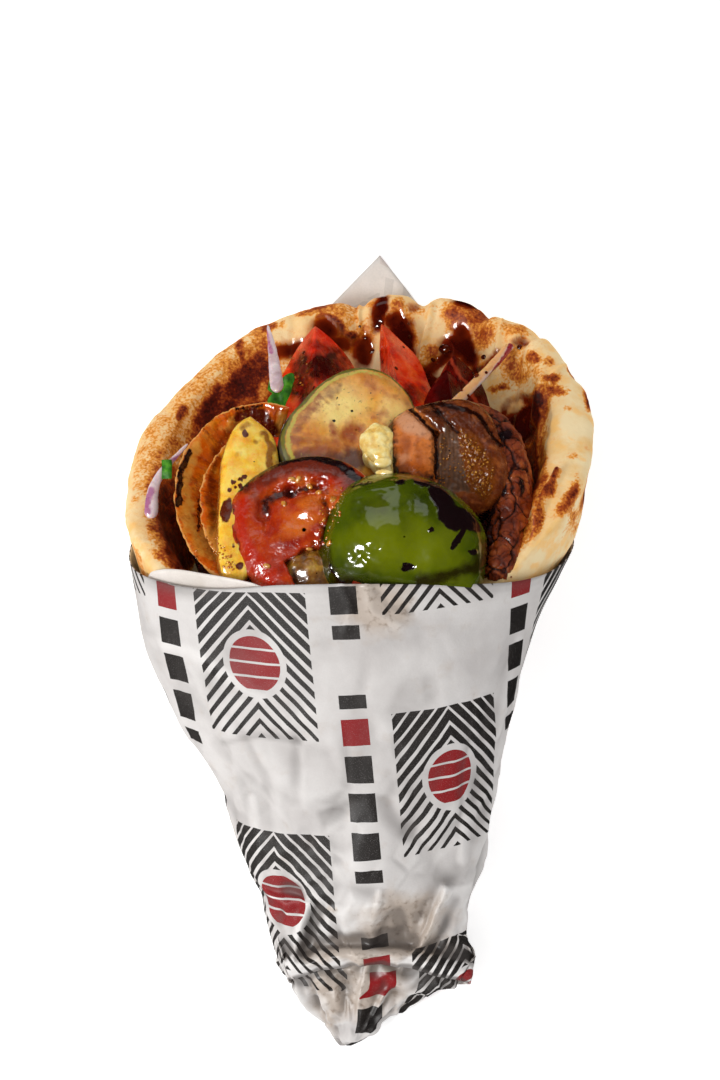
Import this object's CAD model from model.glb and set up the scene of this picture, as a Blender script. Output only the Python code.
"""Grilled vegetable pita in a cone of printed paper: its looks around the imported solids.

Sizes below are millimetres unless a name says otherwise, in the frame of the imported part: +Y runs
from the crumpled tail to the open mouth and +Z is up. Marks are placed in picture points, which
are the pixels of the 720 x 1080 picture that the camera takes.
"""

import itertools
import logging
import math
from collections.abc import Callable, Sequence
from dataclasses import dataclass, field
from enum import Enum

import bmesh
import bpy
import numpy as np
from mathutils import Euler, Matrix, Vector


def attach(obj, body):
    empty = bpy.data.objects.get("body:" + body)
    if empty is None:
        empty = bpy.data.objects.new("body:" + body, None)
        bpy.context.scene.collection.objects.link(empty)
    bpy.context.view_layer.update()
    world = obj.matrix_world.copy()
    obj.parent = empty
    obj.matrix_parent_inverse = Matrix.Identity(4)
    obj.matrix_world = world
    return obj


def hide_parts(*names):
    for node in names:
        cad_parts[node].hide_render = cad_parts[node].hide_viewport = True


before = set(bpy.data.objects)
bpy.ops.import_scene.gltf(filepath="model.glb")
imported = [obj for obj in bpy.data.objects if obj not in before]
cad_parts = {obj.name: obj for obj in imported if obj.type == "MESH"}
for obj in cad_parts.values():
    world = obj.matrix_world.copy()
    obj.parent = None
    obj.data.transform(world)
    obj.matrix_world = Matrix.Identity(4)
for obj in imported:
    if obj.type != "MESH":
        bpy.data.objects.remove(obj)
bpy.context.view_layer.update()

LOG = logging.getLogger("pita")
MM = 0.001
WELD = 0.000004

Array = np.ndarray
Pair = tuple[float, float]
Point = tuple[float, float, float]
Rgb = tuple[float, float, float]
Tones = tuple[Rgb, Rgb, Rgb]
Knots = tuple[Pair, ...]
BMesh = bmesh.types.BMesh
Material = bpy.types.Material
Node = bpy.types.Node
NodeTree = bpy.types.NodeTree
Socket = bpy.types.NodeSocket


class Slot(Enum):
    """Material slots of the record."""

    PAPER = "wrap_paper"
    BREAD = "flatbread"
    CORE = "sauced_core"
    PEPPER = "pepper_skin"
    TOMATO = "grilled_tomato"
    ZUCCHINI = "zucchini_flesh"
    SEEDS = "zucchini_seeds"
    MUSHROOM = "mushroom_flesh"
    CAP = "mushroom_skin"
    SQUASH = "squash_flesh"
    SQUASH_END = "squash_end_flesh"
    ONION = "grilled_onion"
    RAW_TOMATO = "raw_tomato"
    RED_ONION = "red_onion"


# ---- Curves and noise ----


def smooth_curve(knots: Knots, places: Array) -> Array:
    """Values on the smooth curve through knots, held level past its ends.

    Args:
        knots: (place, value) pairs in rising order of place.
        places: Where the curve is read.

    Returns:
        One value for each place.
    """
    at = np.array([knot[0] for knot in knots])
    values = np.array([knot[1] for knot in knots])
    slopes = np.empty(len(knots))
    slopes[1:-1] = (values[2:] - values[:-2]) / (at[2:] - at[:-2])
    slopes[0] = (values[1] - values[0]) / (at[1] - at[0])
    slopes[-1] = (values[-1] - values[-2]) / (at[-1] - at[-2])
    places = np.clip(places, at[0], at[-1])
    low = np.clip(np.searchsorted(at, places, side="right") - 1, 0, len(knots) - 2)
    step = at[low + 1] - at[low]
    share = (places - at[low]) / step
    square, cube = share**2, share**3
    return (
        (2.0 * cube - 3.0 * square + 1.0) * values[low]
        + (cube - 2.0 * square + share) * slopes[low] * step
        + (3.0 * square - 2.0 * cube) * values[low + 1]
        + (cube - square) * slopes[low + 1] * step
    )


def smooth_step(low: float, high: float, values: Array) -> Array:
    """Zero below low, one above high, and a smooth rise between."""
    share = np.clip((values - low) / (high - low), 0.0, 1.0)
    return share * share * (3.0 - 2.0 * share)


def bell(distance: Array, half_width: float) -> Array:
    """Bump of height one that fades on both sides of zero."""
    return np.exp(-((distance / half_width) ** 2))


def hashed(cells: Array, seed: int) -> Array:
    """Even random number from zero to one for each whole-numbered cell of a lattice.

    Args:
        cells: Rows of three whole numbers.
        seed: Which noise it is.

    Returns:
        One number for each cell.
    """
    parts = cells.astype(np.int64).astype(np.uint64)
    mixed = parts[:, 0] * np.uint64(374761393) + parts[:, 1] * np.uint64(668265263)
    mixed += parts[:, 2] * np.uint64(2246822519) + np.uint64(seed * 3266489917)
    mixed = (mixed ^ (mixed >> np.uint64(13))) * np.uint64(1274126177)
    mixed = (mixed ^ (mixed >> np.uint64(16))) & np.uint64(0xFFFFFF)
    return mixed.astype(float) / float(0xFFFFFF)


def lattice_noise(points: Array, seed: int) -> Array:
    """Smooth noise from zero to one that changes over a length of one.

    Args:
        points: Places as rows of three numbers.
        seed: Which noise it is.

    Returns:
        One value for each place.
    """
    cells = np.floor(points)
    blend = points - cells
    blend = blend * blend * (3.0 - 2.0 * blend)
    total = np.zeros(len(points))
    for corner in itertools.product((0, 1), repeat=3):
        weight = np.prod(np.where(corner, blend, 1.0 - blend), axis=1)
        total += weight * hashed(cells + corner, seed)
    return total


def fractal(points: Array, size: float, seed: int, octaves: int = 3) -> Array:
    """Noise from minus one to one with its largest features a size across.

    Args:
        points: Places as rows of three numbers.
        size: Length over which the largest features change.
        seed: Which noise it is.
        octaves: How many times finer noise is added.

    Returns:
        One value for each place.
    """
    total = np.zeros(len(points))
    strength, reach = 1.0, 0.0
    for octave in range(octaves):
        total += strength * (2.0 * lattice_noise(points * 2.0**octave / size, seed + octave) - 1.0)
        reach += strength
        strength *= 0.5
    return total / reach * 1.6


def cell_noise(points: Array, size: float, seed: int) -> tuple[Array, Array, Array]:
    """Distances to the nearest two of randomly spread centres, and the nearest one's number.

    Args:
        points: Places as rows of three numbers.
        size: Mean distance between centres.
        seed: Which centres they are.

    Returns:
        Nearest distance, second distance, both in sizes, and a random number per centre.
    """
    scaled = points / size
    cells = np.floor(scaled)
    first = np.full(len(points), 9.0)
    second = np.full(len(points), 9.0)
    number = np.zeros(len(points))
    for offset in itertools.product((-1, 0, 1), repeat=3):
        near = cells + offset
        centre = near + np.stack([hashed(near, seed + axis) for axis in range(3)], axis=1)
        distance = np.linalg.norm(scaled - centre, axis=1)
        closer = distance < first
        second = np.where(closer, first, np.minimum(second, distance))
        number = np.where(closer, hashed(near, seed + 7), number)
        first = np.where(closer, distance, first)
    return first, second, number


# ---- The picture: camera and marks ----


@dataclass(frozen=True)
class PictureCamera:
    """Camera that looks down on the shown side, and the picture that it takes."""

    width: int = 720
    height: int = 1080
    lens: float = 400.0 / 3.0
    sensor: float = 36.0
    elevation_degrees: float = 82.0
    distance: float = 1000.0
    target: Point = (0.0, 23.0, 30.0)

    def axes(self) -> tuple[Vector, Vector, Vector]:
        """Directions right, up and backwards of the camera.

        Returns:
            Three unit vectors.
        """
        tilt = math.radians(self.elevation_degrees)
        back = Vector((0.0, -math.cos(tilt), math.sin(tilt)))
        right = Vector((1.0, 0.0, 0.0))
        return right, back.cross(right), back

    def build(self) -> None:
        """Make the camera and take the picture with it."""
        right, up, back = self.axes()
        data = bpy.data.cameras.new("picture_camera")
        data.lens = self.lens
        data.sensor_width = self.sensor
        camera = bpy.data.objects.new("picture_camera", data)
        bpy.context.scene.collection.objects.link(camera)
        camera.matrix_world = Matrix.Translation(
            (Vector(self.target) + back * self.distance) * MM
        ) @ Matrix((right, up, back)).transposed().to_4x4()
        bpy.context.scene.camera = camera

    def points(self, places: Array) -> Array:
        """Picture points, as rows of (x, y), of places given in millimetres.

        Args:
            places: Places as rows of three numbers.

        Returns:
            Picture points as rows of (x, y).
        """
        right, up, back = (np.array(axis) for axis in self.axes())
        from_camera = places - (np.array(self.target) + back * self.distance)
        depth = -(from_camera @ back)
        scale = self.lens / self.sensor * self.height / depth
        x = self.width / 2.0 + from_camera @ right * scale
        y = self.height / 2.0 - from_camera @ up * scale
        return np.stack([x, y], axis=1)


CAMERA = PictureCamera()


@dataclass(frozen=True)
class Spot:
    """Oval mark at a picture point: half sizes in picture points, turn in degrees."""

    x: float
    y: float
    across: float
    along: float
    strength: float = 1.0
    soft: float = 0.45
    turn: float = 0.0

    def cover(self, points: Array) -> Array:
        """How far the mark covers each picture point, from zero to its strength.

        Args:
            points: Picture points as rows of (x, y).

        Returns:
            One cover for each point.
        """
        turn = math.radians(self.turn)
        x, y = points[:, 0] - self.x, points[:, 1] - self.y
        along_x = (x * math.cos(turn) + y * math.sin(turn)) / self.across
        along_y = (y * math.cos(turn) - x * math.sin(turn)) / self.along
        reach = np.hypot(along_x, along_y)
        return self.strength * (1.0 - smooth_step(1.0 - self.soft, 1.0 + self.soft, reach))


@dataclass(frozen=True)
class Stroke:
    """Mark along a line of picture points, with its half width in picture points."""

    route: tuple[Pair, ...]
    width: float
    strength: float = 1.0
    soft: float = 0.45

    def cover(self, points: Array) -> Array:
        """How far the mark covers each picture point, from zero to its strength.

        Args:
            points: Picture points as rows of (x, y).

        Returns:
            One cover for each point.
        """
        nearest = np.full(len(points), 1e9)
        for start, end in zip(self.route, self.route[1:]):
            start, step = np.array(start), np.array(end) - np.array(start)
            share = np.clip((points - start) @ step / (step @ step), 0.0, 1.0)
            gap = points - start - share[:, None] * step
            nearest = np.minimum(nearest, np.hypot(gap[:, 0], gap[:, 1]))
        reach = nearest / self.width
        return self.strength * (1.0 - smooth_step(1.0 - self.soft, 1.0 + self.soft, reach))


@dataclass(frozen=True)
class Patch:
    """Mark bounded by straight sides between picture points."""

    corners: tuple[Pair, ...]
    fade: float = 2.0
    strength: float = 1.0

    def cover(self, points: Array) -> Array:
        """How far the mark covers each picture point, from zero to its strength.

        Args:
            points: Picture points as rows of (x, y).

        Returns:
            One cover for each point.
        """
        sides = list(zip(self.corners, self.corners[1:] + self.corners[:1]))
        nearest = np.full(len(points), 1e9)
        inside = np.zeros(len(points), bool)
        for start, end in sides:
            start, step = np.array(start), np.array(end) - np.array(start)
            gap = points - start
            share = np.clip(gap @ step / (step @ step), 0.0, 1.0)
            nearest = np.minimum(nearest, np.hypot(*(gap - share[:, None] * step).T))
            if step[1]:
                crossed = (gap[:, 1] >= 0.0) != (gap[:, 1] - step[1] >= 0.0)
                inside ^= crossed & (gap[:, 0] < step[0] * gap[:, 1] / step[1])
        reach = np.where(inside, nearest, -nearest)
        return self.strength * smooth_step(-self.fade, self.fade, reach)


Mark = Spot | Stroke | Patch
Marks = tuple[Mark, ...]
Depths = tuple[tuple[Mark, float], ...]


def crease(depth: float, width: float, *route: Pair) -> tuple[Stroke, float]:
    """Soft stroke along picture points, with how deep it goes."""
    return Stroke(route, width, 1, 0.9), depth


def painted(points: Array, marks: Sequence[Mark], ragged: float = 0.0, seed: int = 5) -> Array:
    """Strongest cover of several marks at each picture point.

    Args:
        points: Picture points as rows of (x, y).
        marks: The marks to paint.
        ragged: How far, in picture points, the marks' edges wander.
        seed: Which wander it is.

    Returns:
        Cover from zero to one for each picture point.
    """
    if ragged:
        flat = np.column_stack([points, np.zeros(len(points))])
        wander = [fractal(flat, ragged * 4.0, seed + axis, 3) for axis in range(2)]
        points = points + ragged * np.stack(wander, axis=1)
    cover = np.zeros(len(points))
    for mark in marks:
        cover = np.maximum(cover, mark.cover(points))
    return cover


# ---- Meshes ----


class Form:
    """Mesh of one piece while it is shaped, with its places in millimetres."""

    def __init__(self, name: str, bm: BMesh) -> None:
        """Take over a bmesh, which is freed.

        Args:
            name: Name of the piece.
            bm: What the piece starts from.
        """
        self.name = name
        self.mesh = bpy.data.meshes.new(name)
        bm.to_mesh(self.mesh)
        bm.free()

    def places(self) -> Array:
        """Every vertex's place."""
        flat = np.empty(len(self.mesh.vertices) * 3, np.float32)
        self.mesh.vertices.foreach_get("co", flat)
        return flat.reshape(-1, 3).astype(float) / MM

    def move(self, places: Array) -> None:
        """Give every vertex its place."""
        self.mesh.vertices.foreach_set("co", (places * MM).astype(np.float32).ravel())
        self.mesh.update()

    def normals(self) -> Array:
        """Every vertex's normal."""
        flat = np.empty(len(self.mesh.vertices) * 3, np.float32)
        self.mesh.vertex_normals.foreach_get("vector", flat)
        return flat.reshape(-1, 3).astype(float)

    def points(self) -> Array:
        """Every vertex's picture point."""
        return CAMERA.points(self.places())

    def facing(self) -> Array:
        """One where the surface faces up, zero where it faces sideways or down."""
        return smooth_step(0.1, 0.6, self.normals()[:, 2])

    def swell(self, amount: Array) -> None:
        """Move the surface out along its normals."""
        self.move(self.places() + self.normals() * np.asarray(amount)[:, None])

    def tuck(self, gap: float = 1.0) -> None:
        """Keep what lies under the paper's front edge under it by a gap.

        Args:
            gap: How far under the paper it stays.
        """
        places = self.places()
        clear = np.maximum(places[:, 1] - 5.0, 0.0) * 1.2
        places[:, 2] = np.minimum(places[:, 2], CONE.lid(places) - gap + clear)
        self.move(places)

    def raise_up(self, amount: Array) -> None:
        """Move what faces up along +Z."""
        places = self.places()
        places[:, 2] += amount * self.facing()
        self.move(places)

    def roughen(self, waves: Sequence[Pair], seed: int) -> None:
        """Give the surface uneven waves, and remember its hollows as a mask.

        Args:
            waves: Size and depth of each layer of waves.
            seed: Which unevenness it is.
        """
        places = self.places()
        rise = np.zeros(len(places))
        for index, (size, depth) in enumerate(waves):
            rise += fractal(places, size, seed + 10 * index) * depth
        self.swell(rise)
        self.mask("hollow", smooth_step(0.1, 1.0, -rise / sum(depth for _, depth in waves)))

    def reshape(self, operate: Callable[[BMesh], None]) -> None:
        """Run bmesh operators on the mesh.

        Args:
            operate: Changes the bmesh that it is given.
        """
        bm = bmesh.new()
        bm.from_mesh(self.mesh)
        operate(bm)
        bm.to_mesh(self.mesh)
        bm.free()

    def rest(self) -> None:
        """Keep everything above the floor."""
        places = self.places()
        places[:, 2] = np.maximum(places[:, 2], 0.0)
        self.move(places)

    def close(self, distance: float = WELD) -> None:
        """Weld what coincides and turn all faces outwards.

        Args:
            distance: How near two vertices are to be welded, in metres.
        """

        def operate(bm: BMesh) -> None:
            """Weld, drop what lost its area and recalculate the normals."""
            bmesh.ops.remove_doubles(bm, verts=bm.verts, dist=distance)
            bmesh.ops.dissolve_degenerate(bm, edges=bm.edges, dist=distance)
            bmesh.ops.recalc_face_normals(bm, faces=bm.faces)

        self.reshape(operate)

    def relax(self, times: int = 1) -> None:
        """Smooth the surface.

        Args:
            times: How many times it is smoothed.
        """
        axes = {"use_axis_x": True, "use_axis_y": True, "use_axis_z": True}

        def operate(bm: BMesh) -> None:
            """Move each vertex half way towards its neighbours."""
            for _ in range(times):
                bmesh.ops.smooth_vert(bm, verts=bm.verts, factor=0.5, **axes)

        self.reshape(operate)

    def mask(self, name: str, values: Array) -> None:
        """Store a value from zero to one per vertex for the materials to read."""
        attribute = self.mesh.attributes.new(name, "FLOAT", "POINT")
        attribute.data.foreach_set("value", np.clip(values, 0.0, 1.0).astype(np.float32))

    def paint(self, points: Array, ragged: float, **marks: Marks) -> None:
        """Store each group of marks as a mask under its own name."""
        for name, group in marks.items():
            self.mask(name, painted(points, group, ragged))

    def finish(self, material: Material, slot: Slot, *nodes: str) -> None:
        """Make the piece's object, dressed and riding on the part.

        Args:
            material: The piece's finish.
            slot: The record's slot that the finish belongs to.
            *nodes: CAD nodes that the piece stands for.
        """
        self.mesh.materials.append(material)
        self.mesh.shade_smooth()
        piece = bpy.data.objects.new(self.name, self.mesh)
        bpy.context.scene.collection.objects.link(piece)
        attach(piece, "root")
        if nodes:
            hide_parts(*nodes)
        LOG.info("%s: %d vertices", self.name, len(self.mesh.vertices))
        PILE.add(self)


class Pile:
    """Upper surfaces of the pieces made so far, which small things are laid on."""

    def __init__(self) -> None:
        """Start with nothing."""
        self.surfaces: list[Array] = []

    def add(self, form: Form) -> None:
        """Add a piece's upper surface, with its picture points."""
        surface = np.hstack([form.places(), form.normals(), form.points()])
        self.surfaces = [np.concatenate([*self.surfaces, surface[surface[:, 5] > 0.05]])]

    def top(self, x: float, y: float, reach: float = 2.0) -> tuple[Vector, Vector]:
        """Place and normal of the surface that shows at a picture point.

        Args:
            x: Picture point across.
            y: Picture point down.
            reach: How far off a vertex may lie, in picture points.

        Returns:
            The place and the normal there.
        """
        surface = self.surfaces[0]
        gap = np.hypot(surface[:, 6] - x, surface[:, 7] - y)
        near = surface[gap < max(reach, gap.min() + 0.5)]
        found = near[np.argmax(near[:, 2])]
        return Vector(found[:3]), Vector(found[3:6])


PILE = Pile()


def sheet(name: str, columns: int, rows: int, shape: Callable[[Array, Array], Array]) -> Form:
    """Grid laid over shape(u, v), both from zero to one, welded where it meets itself.

    Args:
        name: Name of the piece.
        columns: Faces along u.
        rows: Faces along v.
        shape: Gives places in millimetres.

    Returns:
        The form.
    """
    bm = bmesh.new()
    bmesh.ops.create_grid(bm, x_segments=columns, y_segments=rows, size=0.5)
    form = Form(name, bm)
    grid = form.places() * MM + 0.5
    form.move(shape(grid[:, 0], grid[:, 1]))
    return form


def seam_window(columns: int, rows: int) -> Array:
    """Zero at the first and last column of a sheet and one away from them."""
    share = np.tile(np.linspace(0.0, 1.0, columns + 1), rows + 1)
    return smooth_step(0.0, 0.03, np.minimum(share, 1.0 - share))


def spread_out(values: Array, columns: int, reach: int) -> Array:
    """Values of a grid's vertices spread over their neighbours.

    Args:
        values: One for each vertex of a sheet.
        columns: Faces across the sheet.
        reach: How many columns and rows they spread over.

    Returns:
        The smoothed values.
    """
    grid = values.reshape(-1, columns + 1)
    for axis in (0, 1):
        for _ in range(2):
            steps = [np.roll(grid, step, axis) for step in range(-reach, reach + 1, 2)]
            grid = np.mean(steps, axis=0)
    return grid.ravel()


def ball(name: str, detail: int = 7) -> Form:
    """Ball with a radius of one millimetre, made of near-even triangles."""
    bm = bmesh.new()
    bmesh.ops.create_icosphere(bm, subdivisions=detail, radius=MM)
    return Form(name, bm)


@dataclass(frozen=True)
class Placement:
    """Where a piece lies: its middle, and its turn in degrees about x, y and z."""

    at: Point
    turn: Point = (0.0, 0.0, 0.0)

    def apply(self, places: Array) -> Array:
        """Places of the piece's own frame in the part's frame."""
        turn = Euler([math.radians(angle) for angle in self.turn]).to_matrix()
        return places @ np.array(turn).T + np.array(self.at)


@dataclass(frozen=True)
class Round:
    """Squared ball: half sizes in x, y and z, squarer as the plan and profile powers rise.

    The front half and the corner at +x and +y may have plan powers of their own.
    """

    size: Point
    plan: float = 2.0
    profile: float = 2.0
    front_plan: float | None = None
    corner_plan: float | None = None

    def apply(self, places: Array) -> Array:
        """Places on a ball of one millimetre moved onto this shape.

        Args:
            places: Places as rows of three numbers.

        Returns:
            The moved places.
        """
        across = np.maximum(np.hypot(places[:, 0], places[:, 1]), 1e-6)
        height = np.abs(places[:, 2])
        stretch = (across**self.profile + height**self.profile) ** (-1.0 / self.profile)
        plan = np.where(places[:, 0] > 0.0, self.corner_plan or self.plan, self.plan)
        plan = np.where(places[:, 1] < 0.0, self.front_plan or self.plan, plan)
        side = np.abs(places[:, 0] / across) ** plan + np.abs(places[:, 1] / across) ** plan
        shaped = places * stretch[:, None]
        shaped[:, :2] *= (side ** (-1.0 / plan))[:, None]
        return shaped * np.array(self.size)


# ---- Finishes ----


def tone(red: float, green: float, blue: float) -> Rgb:
    """Linear colour of a screen colour given as 0 to 255.

    Args:
        red: Red from 0 to 255.
        green: Green from 0 to 255.
        blue: Blue from 0 to 255.

    Returns:
        Red, green and blue from zero to one.
    """
    scaled = [value / 255.0 for value in (red, green, blue)]
    return tuple(
        value / 12.92 if value <= 0.04045 else ((value + 0.055) / 1.055) ** 2.4
        for value in scaled
    )


class Shade:
    """Node tree of one material or effect, with short calls for the nodes that it uses."""

    def __init__(self, tree: NodeTree) -> None:
        """Work on a node tree."""
        self.tree = tree

    def node(self, kind: str, settings: dict | None = None, **inputs: object) -> Node:
        """Add a node.

        Args:
            kind: Node type, without the leading ShaderNode.
            settings: Properties of the node.
            **inputs: Values or sockets, by input name with spaces as underscores.

        Returns:
            The node.
        """
        made = self.tree.nodes.new("ShaderNode" + kind)
        for name, value in (settings or {}).items():
            setattr(made, name, value)
        for name, value in inputs.items():
            self.feed(made.inputs[name.replace("_", " ")], value)
        return made

    def feed(self, socket: Socket, value: object) -> None:
        """Link a socket to an input, or set the input's value.

        Args:
            socket: The input.
            value: A socket or a constant.
        """
        if isinstance(value, Socket):
            self.tree.links.new(value, socket)
        elif isinstance(value, tuple) and len(value) == 3 and socket.type == "RGBA":
            socket.default_value = (*value, 1.0)
        else:
            socket.default_value = value

    def place(self) -> Socket:
        """Place on the piece in millimetres."""
        coordinates = self.node("TexCoord").outputs["Object"]
        scaled = self.node("VectorMath", {"operation": "SCALE"}, Vector=coordinates, Scale=1000.0)
        return scaled.outputs["Vector"]

    def mask(self, name: str) -> Socket:
        """Value that the mesh stores under a name."""
        return self.node("Attribute", {"attribute_name": name}).outputs["Fac"]

    def math(self, operation: str, first: object, second: object = 0.5) -> Socket:
        """Result of a Math node.

        Args:
            operation: The node's operation.
            first: Its first input.
            second: Its second input.

        Returns:
            The node's output.
        """
        made = self.node("Math", {"operation": operation})
        self.feed(made.inputs[0], first)
        self.feed(made.inputs[1], second)
        return made.outputs[0]

    def times(self, first: object, second: object) -> Socket:
        """Product of two values."""
        return self.math("MULTIPLY", first, second)

    def plus(self, first: object, second: object) -> Socket:
        """Sum of two values."""
        return self.math("ADD", first, second)

    def minus(self, first: object, second: object) -> Socket:
        """First value less the second."""
        return self.math("SUBTRACT", first, second)

    def mix(self, factor: object, first: object, second: object) -> Socket:
        """First colour at factor zero, second at one.

        Args:
            factor: Share of the second colour.
            first: First colour.
            second: Second colour.

        Returns:
            The mixed colour.
        """
        made = self.node("MixRGB")
        self.feed(made.inputs[0], factor)
        self.feed(made.inputs[1], first)
        self.feed(made.inputs[2], second)
        return made.outputs[0]

    def ramp(self, value: object, stops: Sequence[tuple[float, Rgb]]) -> Socket:
        """Colour read from stops of (place, colour).

        Args:
            value: Where the ramp is read.
            stops: Its stops in rising order of place.

        Returns:
            The colour.
        """
        made = self.node("ValToRGB", Fac=value)
        elements = made.color_ramp.elements
        while len(elements) < len(stops):
            elements.new(0.5)
        for element, (place, colour) in zip(elements, stops):
            element.position = place
            element.color = (*colour, 1.0)
        return made.outputs["Color"]

    def window(self, value: object, low: float, high: float) -> Socket:
        """Value moved so that low becomes zero and high one, held between them.

        Args:
            value: The value.
            low: What becomes zero.
            high: What becomes one.

        Returns:
            The moved value.
        """
        made = self.node("MapRange", {"interpolation_type": "SMOOTHSTEP"}, Value=value)
        made.inputs["From Min"].default_value = low
        made.inputs["From Max"].default_value = high
        return made.outputs["Result"]

    def noise(self, size: float, detail: float = 3.0) -> Socket:
        """Noise about 0.5 whose features are a size across, in millimetres."""
        made = self.node("TexNoise", Vector=self.place(), Scale=1.0 / size, Detail=detail)
        return made.outputs[0]

    def effect(self, group: NodeTree, **inputs: object) -> Socket:
        """First output of an effect placed with its own values."""
        return self.node("Group", {"node_tree": group}, **inputs).outputs[0]

    def bump(self, shader: Node, height: object, strength: float, depth: float) -> None:
        """Give a shader relief of a depth in millimetres."""
        made = self.node("Bump", Height=height, Strength=strength, Distance=depth * MM)
        self.feed(shader.inputs["Normal"], made.outputs["Normal"])


def new_material(name: str) -> tuple[Material, Shade, Node]:
    """New material, its tree to work on and its shader."""
    material = bpy.data.materials.new(name)
    material.use_nodes = True
    return material, Shade(material.node_tree), material.node_tree.nodes["Principled BSDF"]


class Effects:
    """Effects that several finishes share, each a node group that is built once."""

    def __init__(self) -> None:
        """Build the groups."""
        self.broken = self.build_broken()
        self.specks = self.build_specks()
        self.relief = self.build_relief()

    @staticmethod
    def new_group(name: str, inputs: dict[str, float], output: str) -> tuple[Shade, object, object]:
        """Empty group with float inputs and one float output.

        Args:
            name: Name of the group.
            inputs: Names of the inputs with the values they start from.
            output: Name of the output.

        Returns:
            The group's tree to work on, its input node and its output node.
        """
        tree = bpy.data.node_groups.new(name, "ShaderNodeTree")
        for label, value in inputs.items():
            made = tree.interface.new_socket(label, in_out="INPUT", socket_type="NodeSocketFloat")
            made.default_value = value
        tree.interface.new_socket(output, in_out="OUTPUT", socket_type="NodeSocketFloat")
        return Shade(tree), tree.nodes.new("NodeGroupInput"), tree.nodes.new("NodeGroupOutput")

    def build_broken(self) -> NodeTree:
        """Mask whose edge is broken up by grain: Mask, Size, Amount and Sharpness in.

        Returns:
            The group.
        """
        inputs = {"Mask": 0.0, "Size": 1.0, "Amount": 0.5, "Sharpness": 3.0}
        shade, given, result = self.new_group("broken_edge", inputs, "Mask")
        scale = shade.math("DIVIDE", 1.0, given.outputs["Size"])
        grain = shade.node("TexNoise", Vector=shade.place(), Scale=scale, Detail=5.0)
        centred = shade.minus(grain.outputs[0], 0.5)
        moved = shade.times(centred, given.outputs["Amount"])
        summed = shade.plus(given.outputs["Mask"], shade.times(moved, 2.0))
        sharp = shade.minus(summed, 0.5)
        sharp = shade.times(sharp, given.outputs["Sharpness"])
        made = shade.node("Math", {"operation": "ADD", "use_clamp": True})
        shade.feed(made.inputs[0], sharp)
        made.inputs[1].default_value = 0.5
        shade.feed(result.inputs[0], made.outputs[0])
        return shade.tree

    def build_specks(self) -> NodeTree:
        """Small round specks: Spacing, Radius and Share of the places that have one in.

        Returns:
            The group.
        """
        inputs = {"Spacing": 3.0, "Radius": 0.2, "Share": 0.5}
        shade, given, result = self.new_group("specks", inputs, "Mask")
        scale = shade.math("DIVIDE", 1.0, given.outputs["Spacing"])
        cells = shade.node("TexVoronoi", {"feature": "F1"}, Vector=shade.place(), Scale=scale)
        reach = shade.times(cells.outputs["Distance"], given.outputs["Spacing"])
        inside = shade.math("LESS_THAN", reach, given.outputs["Radius"])
        chosen = shade.node("SeparateColor", Color=cells.outputs["Color"]).outputs[0]
        kept = shade.math("LESS_THAN", chosen, given.outputs["Share"])
        shade.feed(result.inputs[0], shade.times(inside, kept))
        return shade.tree

    def build_relief(self) -> NodeTree:
        """Height of a moist surface: Size of its waves, and how much finer grain it has.

        Returns:
            The group.
        """
        shade, given, result = self.new_group("moist_relief", {"Size": 2.0, "Grain": 0.3}, "Height")
        scale = shade.math("DIVIDE", 1.0, given.outputs["Size"])
        place = shade.place()
        waves = shade.node("TexNoise", Vector=place, Scale=scale, Detail=2.0)
        fine = shade.node("TexNoise", Vector=place, Detail=3.0)
        shade.feed(fine.inputs["Scale"], shade.times(scale, 6.0))
        added = shade.times(fine.outputs[0], given.outputs["Grain"])
        shade.feed(result.inputs[0], shade.plus(waves.outputs[0], added))
        return shade.tree


@dataclass(frozen=True)
class Overlay:
    """Screen colour laid over a finish where the mesh stores a mask."""

    mask: str
    colour: Rgb
    size: float = 1.2
    amount: float = 0.5
    sharpness: float = 2.5
    roughness: float | None = None


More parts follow.
